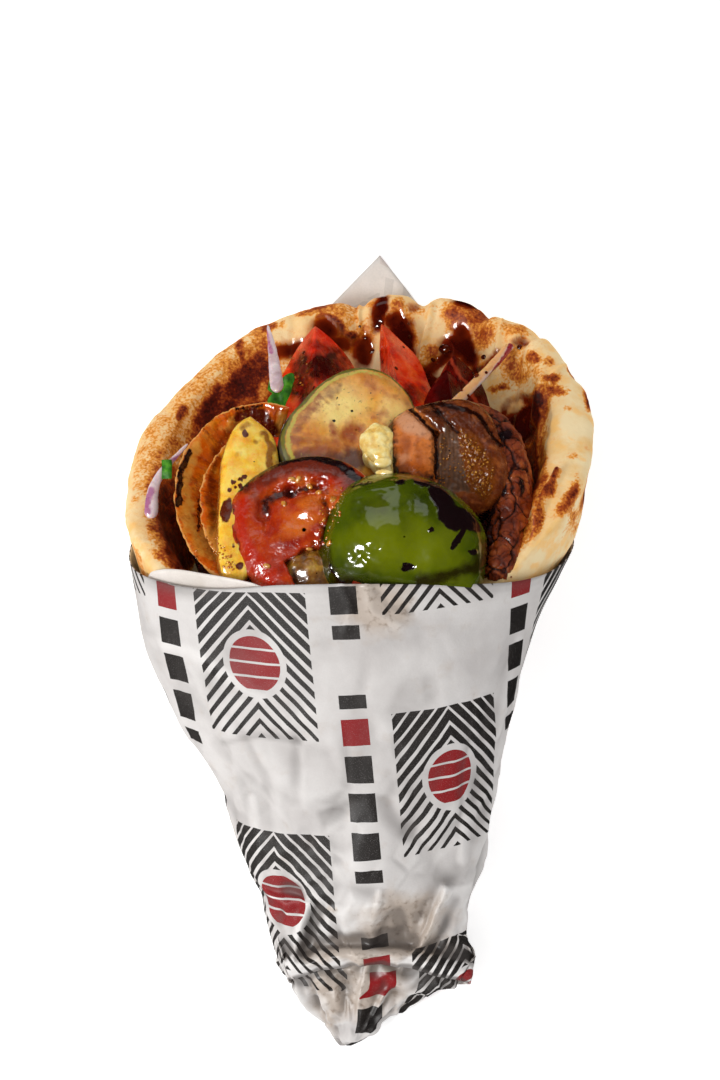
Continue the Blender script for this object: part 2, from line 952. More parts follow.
@dataclass(frozen=True)
class FoodFinish:
    """Flesh or skin: mottled colour, painted overlays, specks, relief and a wet coat.

    Its tones are the dark, middle and light screen colours of the mottle.
    """

    name: str
    tones: Tones
    light_at: float = 0.72
    mottle: float = 6.0
    overlays: tuple[Overlay, ...] = ()
    roughness: float = 0.35
    dryness: float = 1.9
    relief_size: float = 1.6
    relief_grain: float = 0.1
    relief_depth: float = 0.2
    coat: float = 0.0
    coat_roughness: float = 0.06
    scatter: float = 0.0
    scatter_reach: float = 1.0
    specks: float = 0.0
    specular: float = 0.8
    hollow: Rgb | None = None

    def build(self, effects: Effects) -> Material:
        """Make the material.

        Args:
            effects: Shared effects.

        Returns:
            The material.
        """
        material, shade, shader = new_material(self.name)
        stops = tuple(zip((0.3, 0.5, self.light_at), (tone(*shown) for shown in self.tones)))
        colour = shade.ramp(shade.noise(self.mottle, 5.0), stops)
        dry = shade.window(shade.noise(2.6, 3.0), 0.42, 0.62)
        roughness = shade.mix(dry, self.grey(self.roughness), self.grey(self.roughness * self.dryness))
        if self.hollow:
            colour = shade.mix(shade.mask("hollow"), colour, tone(*self.hollow))
        for overlay in self.overlays:
            cover = shade.effect(
                effects.broken, Mask=shade.mask(overlay.mask), Size=overlay.size,
                Amount=overlay.amount, Sharpness=overlay.sharpness,
            )
            colour = shade.mix(cover, colour, tone(*overlay.colour))
            if overlay.roughness is not None:
                roughness = shade.mix(cover, roughness, self.grey(overlay.roughness))
        if self.specks:
            dots = shade.effect(effects.specks, Spacing=2.6, Radius=0.24, Share=self.specks)
            colour = shade.mix(dots, colour, tone(38, 22, 12))
        shade.feed(shader.inputs["Base Color"], colour)
        shade.feed(shader.inputs["Roughness"], roughness)
        height = shade.effect(effects.relief, Size=self.relief_size, Grain=self.relief_grain)
        shade.bump(shader, height, 1.0, self.relief_depth)
        shader.inputs["Specular IOR Level"].default_value = self.specular
        shader.inputs["Coat Weight"].default_value = self.coat
        shader.inputs["Coat Roughness"].default_value = self.coat_roughness
        if self.scatter:
            shader.inputs["Subsurface Weight"].default_value = self.scatter
            shader.inputs["Subsurface Radius"].default_value = (1.0, 0.45, 0.25)
            shader.inputs["Subsurface Scale"].default_value = self.scatter_reach * MM
        return material

    @staticmethod
    def grey(value: float) -> Rgb:
        """A number as a grey colour."""
        return value, value, value


@dataclass(frozen=True)
class BreadFinish:
    """Grilled flatbread: pale crumb, grainy toasting in four steps and glossy sauce."""

    pale: Rgb = tone(248, 224, 176)
    cream: Rgb = tone(240, 194, 122)
    honey: Rgb = tone(252, 196, 112)
    golden: Rgb = tone(240, 158, 56)
    brown: Rgb = tone(182, 80, 10)
    dark: Rgb = tone(106, 26, 3)
    black: Rgb = tone(56, 11, 3)
    sauce_edge: Rgb = tone(206, 104, 14)
    sauce_thin: Rgb = tone(138, 42, 4)
    sauce_thick: Rgb = tone(64, 9, 3)

    def build(self, effects: Effects) -> Material:
        """Make the material.

        Args:
            effects: Shared effects.

        Returns:
            The material.
        """
        material, shade, shader = new_material("grilled_flatbread")
        crumb = shade.mix(shade.window(shade.noise(9.0, 4.0), 0.36, 0.66), self.pale, self.cream)
        warm = shade.times(shade.window(shade.noise(4.0, 6.0), 0.46, 0.66), 0.7)
        warm = shade.plus(warm, shade.times(shade.mask("warm"), 0.6))
        crumb = shade.mix(warm, crumb, self.honey)
        toast = shade.mask("toast")
        grain = shade.minus(shade.noise(0.7, 4.0), 0.5)
        blotch = shade.minus(shade.noise(4.5, 3.0), 0.5)
        spread = shade.plus(shade.times(grain, 1.1), blotch)
        edge = shade.times(spread, shade.window(toast, 0.0, 0.3))
        level = shade.plus(toast, shade.times(edge, 0.75))
        toasted = shade.ramp(
            level,
            (
                (0.10, self.pale), (0.32, self.golden), (0.54, self.brown), (0.78, self.dark),
                (1.0, self.black),
            ),
        )
        colour = shade.mix(shade.window(level, 0.06, 0.3), crumb, toasted)
        sauce = shade.effect(effects.broken, Mask=shade.mask("sauce"), Size=2.4, Amount=0.3, Sharpness=1.9)
        depth = shade.plus(shade.mask("sauce"), shade.times(blotch, 0.5))
        liquid = shade.ramp(
            depth, ((0.4, self.sauce_edge), (0.66, self.sauce_thin), (0.96, self.sauce_thick))
        )
        colour = shade.mix(sauce, colour, liquid)
        shade.feed(shader.inputs["Base Color"], colour)
        matt = shade.mix(shade.window(level, 0.2, 0.8), (0.62,) * 3, (0.38,) * 3)
        shade.feed(shader.inputs["Roughness"], shade.mix(sauce, matt, (0.1,) * 3))
        shade.feed(shader.inputs["Coat Weight"], sauce)
        shader.inputs["Coat Roughness"].default_value = 0.04
        shader.inputs["Specular IOR Level"].default_value = 0.2
        pores = shade.effect(effects.relief, Size=1.3, Grain=0.6)
        dry = shade.minus(1.0, sauce)
        height = shade.times(pores, dry)
        shade.bump(shader, height, 0.8, 0.22)
        return material


@dataclass(frozen=True)
class PrintLayout:
    """Generic print of the paper, in millimetres on the flat sheet, with shares of those sizes.

    Each cell has a block of slanted black bars around a red disc, and beside it a column of
    black tiles with one red tile. Every other column of cells is dropped by half a cell.
    """

    cell_width: float = 47.0
    cell_height: float = 58.0
    offset: Pair = (-13.0, 21.0)
    block_half: float = 14.5
    bar_pitch: float = 3.5
    disc_radius: float = 6.6
    ring_radius: float = 8.2
    block_shift: float = 5.0
    block_length: float = 1.2
    bar_share: float = 0.56
    bar_growth: float = 0.012
    bite_share: float = 0.16
    column_offset: float = 18.5
    column_half: float = 3.3
    tile_pitch: float = 9.0
    tile_half_share: float = 0.36
    tiles_half: float = 2.5
    red_tile: float = 1.5


@dataclass(frozen=True)
class PaperFinish:
    """Thin white paper with a worn black and red print, grease stains and a soft tooth."""

    layout: PrintLayout = field(default_factory=PrintLayout)
    white: Rgb = tone(212, 208, 206)
    shadow: Rgb = tone(196, 191, 189)
    ridge: Rgb = tone(236, 233, 231)
    hollow: Rgb = tone(84, 78, 75)
    ink: Rgb = tone(40, 34, 31)
    red: Rgb = tone(146, 6, 14)
    grease: Rgb = tone(182, 160, 138)
    dark_grease: Rgb = tone(120, 98, 78)

    def cell(self, shade: Shade) -> tuple[object, object]:
        """Place within a cell of the print, from its middle: across and along.

        Args:
            shade: The material's tree.

        Returns:
            The two places.
        """
        flat = shade.node("UVMap", {"uv_map": "flat_sheet"}).outputs["UV"]
        split = shade.node("SeparateXYZ", Vector=flat)
        moved_x, moved_y = (
            shade.plus(split.outputs[axis], shift * MM)
            for axis, shift in zip("XY", self.layout.offset)
        )
        across = shade.math("DIVIDE", moved_x, self.layout.cell_width * MM)
        column = shade.math("FLOOR", across)
        odd = shade.math("ABSOLUTE", shade.math("MODULO", column, 2.0))
        along = shade.math("DIVIDE", moved_y, self.layout.cell_height * MM)
        along = shade.plus(along, shade.times(odd, 0.5))
        across = shade.minus(shade.math("FRACT", across), 0.5)
        along = shade.minus(shade.math("FRACT", along), 0.5)
        across = shade.times(across, self.layout.cell_width)
        return across, shade.times(along, self.layout.cell_height)

    @staticmethod
    def inside(shade: Shade, value: object, middle: float, half: float) -> object:
        """One where a value is within half of a middle."""
        gap = shade.math("ABSOLUTE", shade.minus(value, middle))
        return shade.math("LESS_THAN", gap, half)

    def pattern(self, shade: Shade) -> tuple[object, object]:
        """Masks of the black and the red ink.

        Args:
            shade: The material's tree.

        Returns:
            The two masks.
        """
        layout = self.layout
        across, along = self.cell(shade)
        block_x = shade.plus(across, layout.block_shift)
        slant = shade.plus(along, shade.math("ABSOLUTE", block_x))
        bars = shade.math("FRACT", shade.math("DIVIDE", slant, layout.bar_pitch))
        width = shade.times(along, layout.bar_growth)
        width = shade.plus(layout.bar_share, width)
        bars = shade.math("LESS_THAN", bars, width)
        block = shade.times(
            self.inside(shade, block_x, 0.0, layout.block_half),
            self.inside(shade, along, 0.0, layout.block_half * layout.block_length),
        )
        squared = shade.times(block_x, block_x)
        reach = shade.math("SQRT", shade.plus(squared, shade.times(along, along)))
        outside = shade.math("GREATER_THAN", reach, layout.ring_radius)
        black = shade.times(shade.times(bars, block), outside)
        disc = shade.math("LESS_THAN", reach, layout.disc_radius)
        bite = shade.math("FRACT", shade.math("DIVIDE", along, layout.disc_radius * 0.5))
        red = shade.times(disc, shade.math("GREATER_THAN", bite, layout.bite_share))
        column = self.inside(shade, across, layout.column_offset, layout.column_half)
        tile = shade.math("FRACT", shade.math("DIVIDE", along, layout.tile_pitch))
        tile = self.inside(shade, tile, 0.5, layout.tile_half_share)
        tall = self.inside(shade, along, 0.0, layout.tile_pitch * layout.tiles_half)
        tiles = shade.times(shade.times(tile, column), tall)
        middle = layout.tile_pitch * layout.red_tile
        chosen = self.inside(shade, along, middle, layout.tile_pitch * 0.5)
        red_tile = shade.times(tiles, chosen)
        black_tiles = shade.minus(tiles, red_tile)
        return shade.math("MAXIMUM", black, black_tiles), shade.math("MAXIMUM", red, red_tile)

    def build(self, effects: Effects, ink: float, name: str) -> Material:
        """Make the material.

        Args:
            effects: Shared effects.
            ink: Strength of the print: one outside, little where it shows through.
            name: Name of the material.

        Returns:
            The material.
        """
        material, shade, shader = new_material(name)
        cloud = shade.window(shade.noise(14.0, 5.0), 0.35, 0.7)
        base = shade.mix(cloud, self.white, self.shadow)
        fibre = shade.window(shade.noise(0.5, 3.0), 0.3, 0.75)
        base = shade.mix(shade.times(fibre, 0.12), base, tone(180, 175, 172))
        base = shade.mix(shade.times(shade.mask("ridge"), 0.7), base, self.ridge)
        grease = shade.effect(
            effects.broken, Mask=shade.mask("grease"), Size=5.0, Amount=0.7, Sharpness=1.3
        )
        base = shade.mix(shade.times(grease, 0.6), base, self.grease)
        soot = shade.times(grease, shade.window(shade.noise(1.6, 5.0), 0.5, 0.75))
        base = shade.mix(shade.times(soot, 0.62), base, self.dark_grease)
        if ink:
            black, red = self.pattern(shade)
            worn = shade.math("GREATER_THAN", shade.noise(0.22, 2.0), 0.36)
            body = shade.plus(0.86, shade.times(worn, 0.14))
            strength = shade.times(body, ink)
            base = shade.mix(shade.times(black, strength), base, self.ink)
            base = shade.mix(shade.times(red, strength), base, self.red)
        base = shade.mix(shade.times(shade.mask("hollow"), 0.62), base, self.hollow)
        shade.feed(shader.inputs["Base Color"], base)
        wet = shade.mix(grease, (0.62,) * 3, (0.42,) * 3)
        shade.feed(shader.inputs["Roughness"], wet)
        shader.inputs["Specular IOR Level"].default_value = 0.3
        tooth = shade.effect(effects.relief, Size=3.0, Grain=0.25)
        shade.bump(shader, tooth, 0.5, 0.18)
        return material


# ---- The wrap's cone and its paper ----


@dataclass(frozen=True)
class Cone:
    """Oval cone of the wrap, from its neck to the front of the mouth."""

    neck_y: float = -78.0
    front_y: float = 16.0
    neck_centre_x: float = 2.2
    centre_drift: float = -4.7
    neck_half_width: float = 22.5
    width_growth: float = 31.0
    neck_half_height: float = 11.2
    height_growth: float = 30.8
    flat_drop: float = 2.0
    left_bulge: Knots = (
        (-78.0, 0.8), (-58.0, 0.1), (-40.0, -0.4), (-20.0, 2.8), (-5.0, 5.0), (8.0, 2.6),
        (18.0, 0.6), (27.0, -0.4), (36.0, -1.5), (60.0, 0.0),
    )
    right_bulge: Knots = (
        (-78.0, 0.0), (-68.0, -1.0), (-58.0, 1.0), (-40.0, -2.2), (0.0, -3.0), (12.0, -0.7),
        (22.0, 1.3), (40.0, 0.6), (60.0, 0.0),
    )

    def sizes(self, y: Array) -> tuple[Array, Array, Array]:
        """Growth from neck to front, half width and half height at places along the cone."""
        growth = (y - self.neck_y) / (self.front_y - self.neck_y)
        half_width = self.neck_half_width + self.width_growth * growth
        return growth, half_width, self.neck_half_height + self.height_growth * growth

    def point(self, angle: Array, y: Array, inset: Array | float = 0.0) -> Array:
        """Places on the cone, or inset inside it.

        Args:
            angle: Angle round the cone in degrees: zero at its bottom, 180 at its top.
            y: Place along the cone.
            inset: Distance inside the cone.

        Returns:
            Places as rows of three numbers.
        """
        growth, half_width, half_height = self.sizes(y)
        turn = np.radians(angle)
        side, rise = np.sin(turn), np.cos(turn)
        bulge = np.where(side < 0.0, smooth_curve(self.left_bulge, y), smooth_curve(self.right_bulge, y))
        x = self.neck_centre_x + self.centre_drift * growth + (half_width - inset) * side
        x = x + bulge * side * np.abs(side)
        z = half_height - (half_height + self.flat_drop - inset) * rise
        return np.stack([x, y + 0.0 * x, np.maximum(z, inset)], axis=1)

    def lid(self, places: Array) -> Array:
        """Height of the cone's top above each place.

        Args:
            places: Places as rows of three numbers.

        Returns:
            One height for each place.
        """
        growth, half_width, half_height = self.sizes(places[:, 1])
        off = places[:, 0] - self.neck_centre_x - self.centre_drift * growth
        bulge = np.where(
            off < 0.0, smooth_curve(self.left_bulge, places[:, 1]),
            smooth_curve(self.right_bulge, places[:, 1]),
        )
        root = np.sqrt(np.maximum(half_width**2 + 4.0 * bulge * np.abs(off), 0.0))
        side = np.clip(2.0 * np.abs(off) / (half_width + root), 0.0, 1.0)
        return half_height + (half_height + self.flat_drop) * np.sqrt(1.0 - side**2)


CONE = Cone()


@dataclass
class Assembly:
    """Pieces that belong together, built with the effects that all finishes share."""

    effects: Effects


@dataclass
class PaperWrap(Assembly):
    """Sheet of printed paper rolled round the bread, its crumpled tail and its inner fold."""

    thickness: float = 0.28
    axis_height: float = 30.0
    columns: int = 320
    rows: int = 150
    lip_y: float = -86.8
    lip_bow: float = 4.6
    lip_roll: Knots = (
        (0.0, -2.6), (1.0, 1.0), (2.4, 3.2), (4.0, 1.0), (6.0, -3.4), (9.0, -2.2), (16.0, 0.0),
    )
    ear: Knots = ((-80.0, 4.4), (-75.0, 0.0))
    front_edge_y: float = 5.5
    fold_rise: Knots = ((0.0, -1.0), (0.12, 0.8), (0.35, 2.4), (0.65, 3.2), (0.9, 1.6), (1.0, -0.6))
    corner_y: float = 102.0
    corner_angle: float = 8.4
    corner_sharpness: dict[str, float] = field(default_factory=lambda: {"left": 2.75, "right": 3.4})
    front_dip: Spot = Spot(214, 568, 46, 30, 1, 0.6)
    dip_depth: float = 0.9
    tail_sections: tuple[tuple[float, float, float, float], ...] = (
        (-73.0, -18.6, 25.4, 22.0), (-76.8, -20.0, 26.8, 18.0), (-80.0, -19.4, 28.2, 15.5),
        (-84.0, -18.4, 26.4, 14.0), (-88.2, -16.0, 22.4, 12.5), (-89.8, -14.6, 15.4, 11.6),
        (-95.8, -9.8, 7.4, 8.5), (-100.0, -7.4, 2.4, 5.5), (-102.0, -5.2, -2.2, 2.6),
    )
    tail_tip: Pair = (-3.8, -102.0)
    tail_shift: Pair = (0.0, 4.0)
    tail_columns: int = 220
    tail_rows: int = 90
    fold_angles: Pair = (203.0, 252.0)
    apex_y: float = -146.0
    slant_stretch: float = 1.045
    print_offset: float = 1000.0
    creases: Depths = (
        crease(2, 4, (311, 900), (303, 920), (296, 958)),
        crease(-2.2, 5, (320, 905), (312, 930), (310, 955)),
        (Patch(((262, 888), (311, 903), (297, 958), (268, 950)), 3), 1.4),
        (Patch(((446, 888), (480, 880), (478, 950), (412, 958)), 3), 1.6),
        (Patch(((330, 905), (372, 900), (366, 930), (322, 948)), 3), 0.8),
        (Patch(((386, 908), (430, 900), (410, 950), (372, 946)), 3), -0.9),
        (Patch(((140, 590), (220, 600), (200, 690), (170, 680)), 8), 0.5),
        (Patch(((420, 600), (560, 590), (520, 700), (440, 720)), 10), 0.5),
        crease(1.1, 3.5, (262, 890), (285, 905), (311, 903)),
        crease(-1, 4, (268, 905), (284, 930), (290, 950)),
        crease(1.6, 3.2, (445, 890), (432, 925), (411, 957)),
        crease(-1.2, 4, (455, 900), (446, 925), (430, 950)),
        crease(0.8, 3, (366, 584), (372, 612), (400, 626)),
        crease(0.7, 2.4, (340, 584), (352, 610), (345, 632)),
        crease(-0.6, 3, (376, 590), (388, 606), (410, 612)),
        crease(0.7, 4.5, (146, 640), (190, 652), (262, 700)),
        crease(0.9, 3, (370, 925), (376, 905), (380, 890)),
        crease(-0.9, 3.5, (335, 935), (370, 928), (405, 932)),
        crease(0.7, 4, (480, 700), (470, 770), (462, 860)),
        crease(0.9, 4, (520, 640), (505, 700), (490, 790)),
        crease(0.7, 4, (250, 800), (262, 850), (258, 900)),
        crease(-0.5, 3, (224, 742), (262, 735), (300, 742)),
    )
    stains: Marks = (
        Spot(400, 925, 40, 30, 1.2, 0.8, -10), Spot(375, 948, 66, 12, 1.3, 0.8),
        Spot(380, 606, 30, 27, 1.2, 0.8, 10), Spot(252, 958, 10, 8, 0.9, 0.7),
        Spot(330, 909, 5, 3, 0.7, 0.6),
    )
    tail_stains: Marks = (
        Spot(362, 985, 46, 28, 1.2, 0.7), Spot(330, 965, 40, 8, 0.8, 0.8),
        Spot(325, 1012, 10, 18, 0.6, 0.7, -20), Spot(385, 1005, 16, 10, 0.5, 0.7),
    )

    def edge_y(self, angle: Array) -> Array:
        """Where the paper ends at each angle: low at the front, a corner at the back.

        Args:
            angle: Angles round the cone in degrees.

        Returns:
            One place along the cone for each angle.
        """
        turn = (angle - self.corner_angle + 180.0) % 360.0 - 180.0
        share = 1.0 - np.abs(turn) / 180.0
        sharpness = np.where(turn < 0.0, self.corner_sharpness["left"], self.corner_sharpness["right"])
        return self.front_edge_y + (self.corner_y - self.front_edge_y) * share**sharpness

    def lip(self, angle: Array) -> Array:
        """Where the cone's lower lip ends at each angle."""
        return self.lip_y + self.lip_bow * bell((angle % 360.0) - 185.0, 60.0)

    def unroll(self, form: Form, columns: int, rows: int, shift: Pair = (0.0, 0.0)) -> None:
        """Give the sheet a map of the flat paper that it was rolled from.

        Args:
            form: Grid form that hasn't been welded.
            columns: Faces round the cone.
            rows: Faces along the cone.
            shift: How far the map is moved over the print.
        """
        places = form.places().reshape(rows + 1, columns + 1, 3)
        steps = np.linalg.norm(np.diff(places, axis=1), axis=2)
        arc = np.concatenate([np.zeros((rows + 1, 1)), np.cumsum(steps, axis=1)], axis=1)
        arc -= arc[:, columns // 2][:, None]
        slant = (places[:, :, 1] - self.apex_y) * self.slant_stretch
        turn = arc / slant
        flat = np.stack([slant * np.sin(turn), slant * np.cos(turn)], axis=2)
        flat = ((flat + self.print_offset + shift) * MM).reshape(-1, 2)
        layer = form.mesh.uv_layers.new(name="flat_sheet")
        corners = np.empty(len(form.mesh.loops), np.int32)
        form.mesh.loops.foreach_get("vertex_index", corners)
        layer.data.foreach_set("uv", flat[corners].astype(np.float32).ravel())

    def crumple(self, form: Form, fine: float, coarse: float) -> Array:
        """Give the paper the flat facets and sharp ridges of handling.

        Args:
            form: The sheet.
            fine: Depth of the small facets.
            coarse: Depth of the large ones.

        Returns:
            How far each vertex moved out.
        """
        places = form.places()
        rise = fractal(places, 22.0, 4) * coarse * 0.5
        for stretch, size, depth in ((0.7, 20.0, coarse), (0.35, 12.0, coarse), (0.9, 6.5, fine)):
            near, far, number = cell_noise(places * (1.0, stretch, 1.0), size, 21)
            rise += (number - 0.5) * smooth_step(0.0, 0.3, far - near) * depth
        rise *= 0.55 + 1.1 * smooth_step(-10.0, -70.0, places[:, 1])
        rise *= 1.0 - 0.85 * smooth_step(-12.0, 2.0, places[:, 1])
        rise *= seam_window(self.columns, self.rows)
        form.swell(rise)
        return rise

    def build_cone(self, printed: Material, plain: Material) -> None:
        """Make the cone of paper, with the corner that stands out behind the mouth.

        Args:
            printed: Finish of its outer side.
            plain: Finish of its inner side.
        """

        def shape(u: Array, v: Array) -> Array:
            """Places from the lip to the edge.

            Args:
                u: Share of the way across the sheet.
                v: Share of the way along it.

            Returns:
                Places as rows of three numbers.
            """
            angle = self.corner_angle + 360.0 * u
            low = self.lip(angle)
            y = low + (self.edge_y(angle) - low) * v**1.35
            places = CONE.point(angle, y, 0.12)
            side = np.maximum(np.sin(np.radians(angle)), 0.0)
            places[:, 0] += smooth_curve(self.ear, y) * side**2
            rolls.append(y - low)
            return places

        rolls: list[Array] = []
        form = sheet("paper_cone", self.columns, self.rows, shape)
        form.reshape(self.turn_out)
        self.unroll(form, self.columns, self.rows)
        points, places = form.points(), form.places()
        upper = smooth_step(0.3, 0.6, places[:, 2] / 40.0)
        near_edge = smooth_step(-14.0, 4.0, places[:, 1]) * (places[:, 1] < 12.0)
        dip = self.front_dip.cover(points) * near_edge * upper
        places[:, 1] -= self.dip_depth * dip
        form.move(places)
        rise = self.crumple(form, 0.6, 1.5)
        facing = form.facing()
        roll = rolls[0]
        lift = smooth_curve(self.lip_roll, roll)
        for crease, height in self.creases:
            lift += crease.cover(points) * height
        form.raise_up(lift)
        form.mask("grease", painted(points, self.stains, 6.0) * facing)
        behind_lip = 0.5 * bell(roll - 6.6, 2.6) * facing
        lip_ridge = 0.8 * bell(roll - 1.8, 2.0) * facing
        self.wear(form, rise + lift * facing, self.columns, behind_lip, lip_ridge)
        form.close()
        self.thicken(form)
        form.rest()
        form.mesh.materials.append(printed)
        form.finish(plain, Slot.PAPER, "paper_wrap")

    @staticmethod
    def turn_out(bm: BMesh) -> None:
        """Make the faces of a rolled sheet point away from its axis."""
        bmesh.ops.reverse_faces(bm, faces=bm.faces)

    @staticmethod
    def wear(
        form: Form, height: Array, columns: int, hollow: Array | float = 0.0, ridge: Array | float = 0.0,
    ) -> None:
        """Store where the handled paper is hollow and where it has ridges.

        Args:
            form: The sheet.
            height: How far its vertices were moved out.
            columns: Faces across the sheet.
            hollow: Hollow added to what the heights give.
            ridge: Ridge added to what the heights give.
        """
        gap = height - spread_out(height, columns, 6)
        form.mask("hollow", np.clip(hollow - gap * 0.9, 0.0, 1.0))
        form.mask("ridge", np.clip(ridge + gap * 0.9, 0.0, 1.0))

    def thicken(self, form: Form) -> None:
        """Give a sheet its thickness, inwards.

        Args:
            form: The sheet.
        """
        thickness = self.thickness * MM

        def operate(bm: BMesh) -> None:
            """Extrude the sheet inwards and give its inner side the second finish.

            Args:
                bm: The bmesh to work on.
            """
            bm.normal_update()
            axis = Vector((0.0, 0.0, self.axis_height * MM))
            out = (Vector((v.co.x, 0.0, v.co.z)) - axis for v in bm.verts)
            if sum(away.dot(v.normal) for away, v in zip(out, bm.verts)) < 0.0:
                bmesh.ops.reverse_faces(bm, faces=bm.faces)
                bm.normal_update()
            outward = {vert.co.to_tuple(): vert.normal.copy() for vert in bm.verts}
            made = bmesh.ops.extrude_face_region(bm, geom=bm.faces[:], use_keep_orig=True)
            for item in made["geom"]:
                if isinstance(item, bmesh.types.BMFace):
                    item.material_index = 1
                elif isinstance(item, bmesh.types.BMVert):
                    item.co -= outward[item.co.to_tuple()] * thickness
            bmesh.ops.recalc_face_normals(bm, faces=bm.faces)

        form.reshape(operate)

    def build_tail(self, material: Material) -> None:
        """Crumpled end of the paper below the lip.

        Args:
            material: Finish of the piece.
        """
        columns, rows = self.tail_columns, self.tail_rows
        place_y = [-section[0] for section in self.tail_sections]
        knots = [
            tuple(zip(place_y, [section[index] for section in self.tail_sections]))
            for index in (1, 2, 3)
        ]

        def shape(u: Array, v: Array) -> Array:
            """Places from inside the neck to the tip.

            Args:
                u: Share of the way across the sheet.
                v: Share of the way along it.

            Returns:
                Places as rows of three numbers.
            """
            y = self.tail_sections[0][0] + (self.tail_sections[-1][0] - self.tail_sections[0][0]) * v
            left, right, top = (smooth_curve(knot, -y) for knot in knots)
            angle = np.radians(self.corner_angle + 360.0 * u)
            half = (top - 2.0) / 2.0
            x = (left + right) / 2.0 + (right - left) / 2.0 * np.sin(angle)
            z = half - (half + 2.0) * np.cos(angle)
            return np.stack([x, y, np.maximum(z, 0.0)], axis=1)

        form = sheet("paper_tail", columns, rows, shape)
        self.unroll(form, columns, rows, self.tail_shift)
        free = smooth_step(-74.0, -80.0, form.places()[:, 1])
        places = form.places()
        tip_x, tip_y = self.tail_tip
        spread = np.arctan2(places[:, 0] - tip_x, places[:, 1] - tip_y + 3.0)
        reach = np.hypot(places[:, 0] - tip_x, places[:, 1] - tip_y)
        folds = np.stack([spread * 6.0, reach * 0.08, 0.0 * reach], axis=1)
        gather = (1.0 - 2.0 * np.abs(2.0 * lattice_noise(folds, 57) - 1.0)) * 1.1
        rise = gather * smooth_step(2.0, 10.0, reach) + fractal(places, 9.0, 8) * 0.8
        for size, depth in ((8.0, 3.0), (4.0, 1.5)):
            near, far, number = cell_noise(places * (1.0, 0.7, 1.0), size, 51)
            rise += (number - 0.5) * smooth_step(0.0, 0.35, far - near) * depth
        form.swell((rise - 0.5) * free * seam_window(columns, rows))
        angle = self.corner_angle + 360.0 * np.tile(np.linspace(0.0, 1.0, columns + 1), rows + 1)
        under_lip = smooth_step(4.5, 0.5, self.lip(angle) - places[:, 1])
        self.wear(form, rise * free, columns, 0.9 * under_lip)
        places = form.places()
        places[:, 1] = np.maximum(places[:, 1], self.tail_sections[-1][0])
        places[:, 2] = np.maximum(places[:, 2], 0.02)
        form.move(places)
        form.mask("grease", painted(form.points(), self.tail_stains, 5.0) * form.facing())

        def fill_ends(bm: BMesh) -> None:
            """Close the tip and the end inside the neck."""
            bmesh.ops.remove_doubles(bm, verts=bm.verts, dist=WELD)
            bmesh.ops.holes_fill(bm, edges=bm.edges)
            bmesh.ops.recalc_face_normals(bm, faces=bm.faces)

        form.reshape(fill_ends)
        form.finish(material, Slot.PAPER)

    def build_fold(self, material: Material) -> None:
        """Inner fold of the paper that shows above its edge at the left of the front.

        Args:
            material: Finish of the piece.
        """
        start, end = self.fold_angles

        def shape(u: Array, v: Array) -> Array:
            """Places on a strip just inside the cone.

            Args:
                u: Share of the way across the sheet.
                v: Share of the way along it.

            Returns:
                Places as rows of three numbers.
            """
            angle = start + (end - start) * u
            arch = smooth_curve(self.fold_rise, u)
            y = -2.0 + (2.0 + self.edge_y(angle) + arch) * v
            return CONE.point(angle, y, 2.6 - 1.2 * v)

        form = sheet("paper_fold", 90, 16, shape)
        form.mask("grease", np.zeros(len(form.mesh.vertices)))
        self.thicken(form)
        form.close()
        form.finish(material, Slot.PAPER)

    def build(self) -> None:
        """Make all of the paper."""
        printed = PaperFinish().build(self.effects, 1.0, "printed_paper")
        bright = PaperFinish(white=tone(240, 232, 226), shadow=tone(224, 216, 208))
        inner = bright.build(self.effects, 0.14, "inner_paper")
        self.build_cone(printed, inner)
        self.build_tail(printed)
        self.build_fold(inner)


# ---- Bread ----


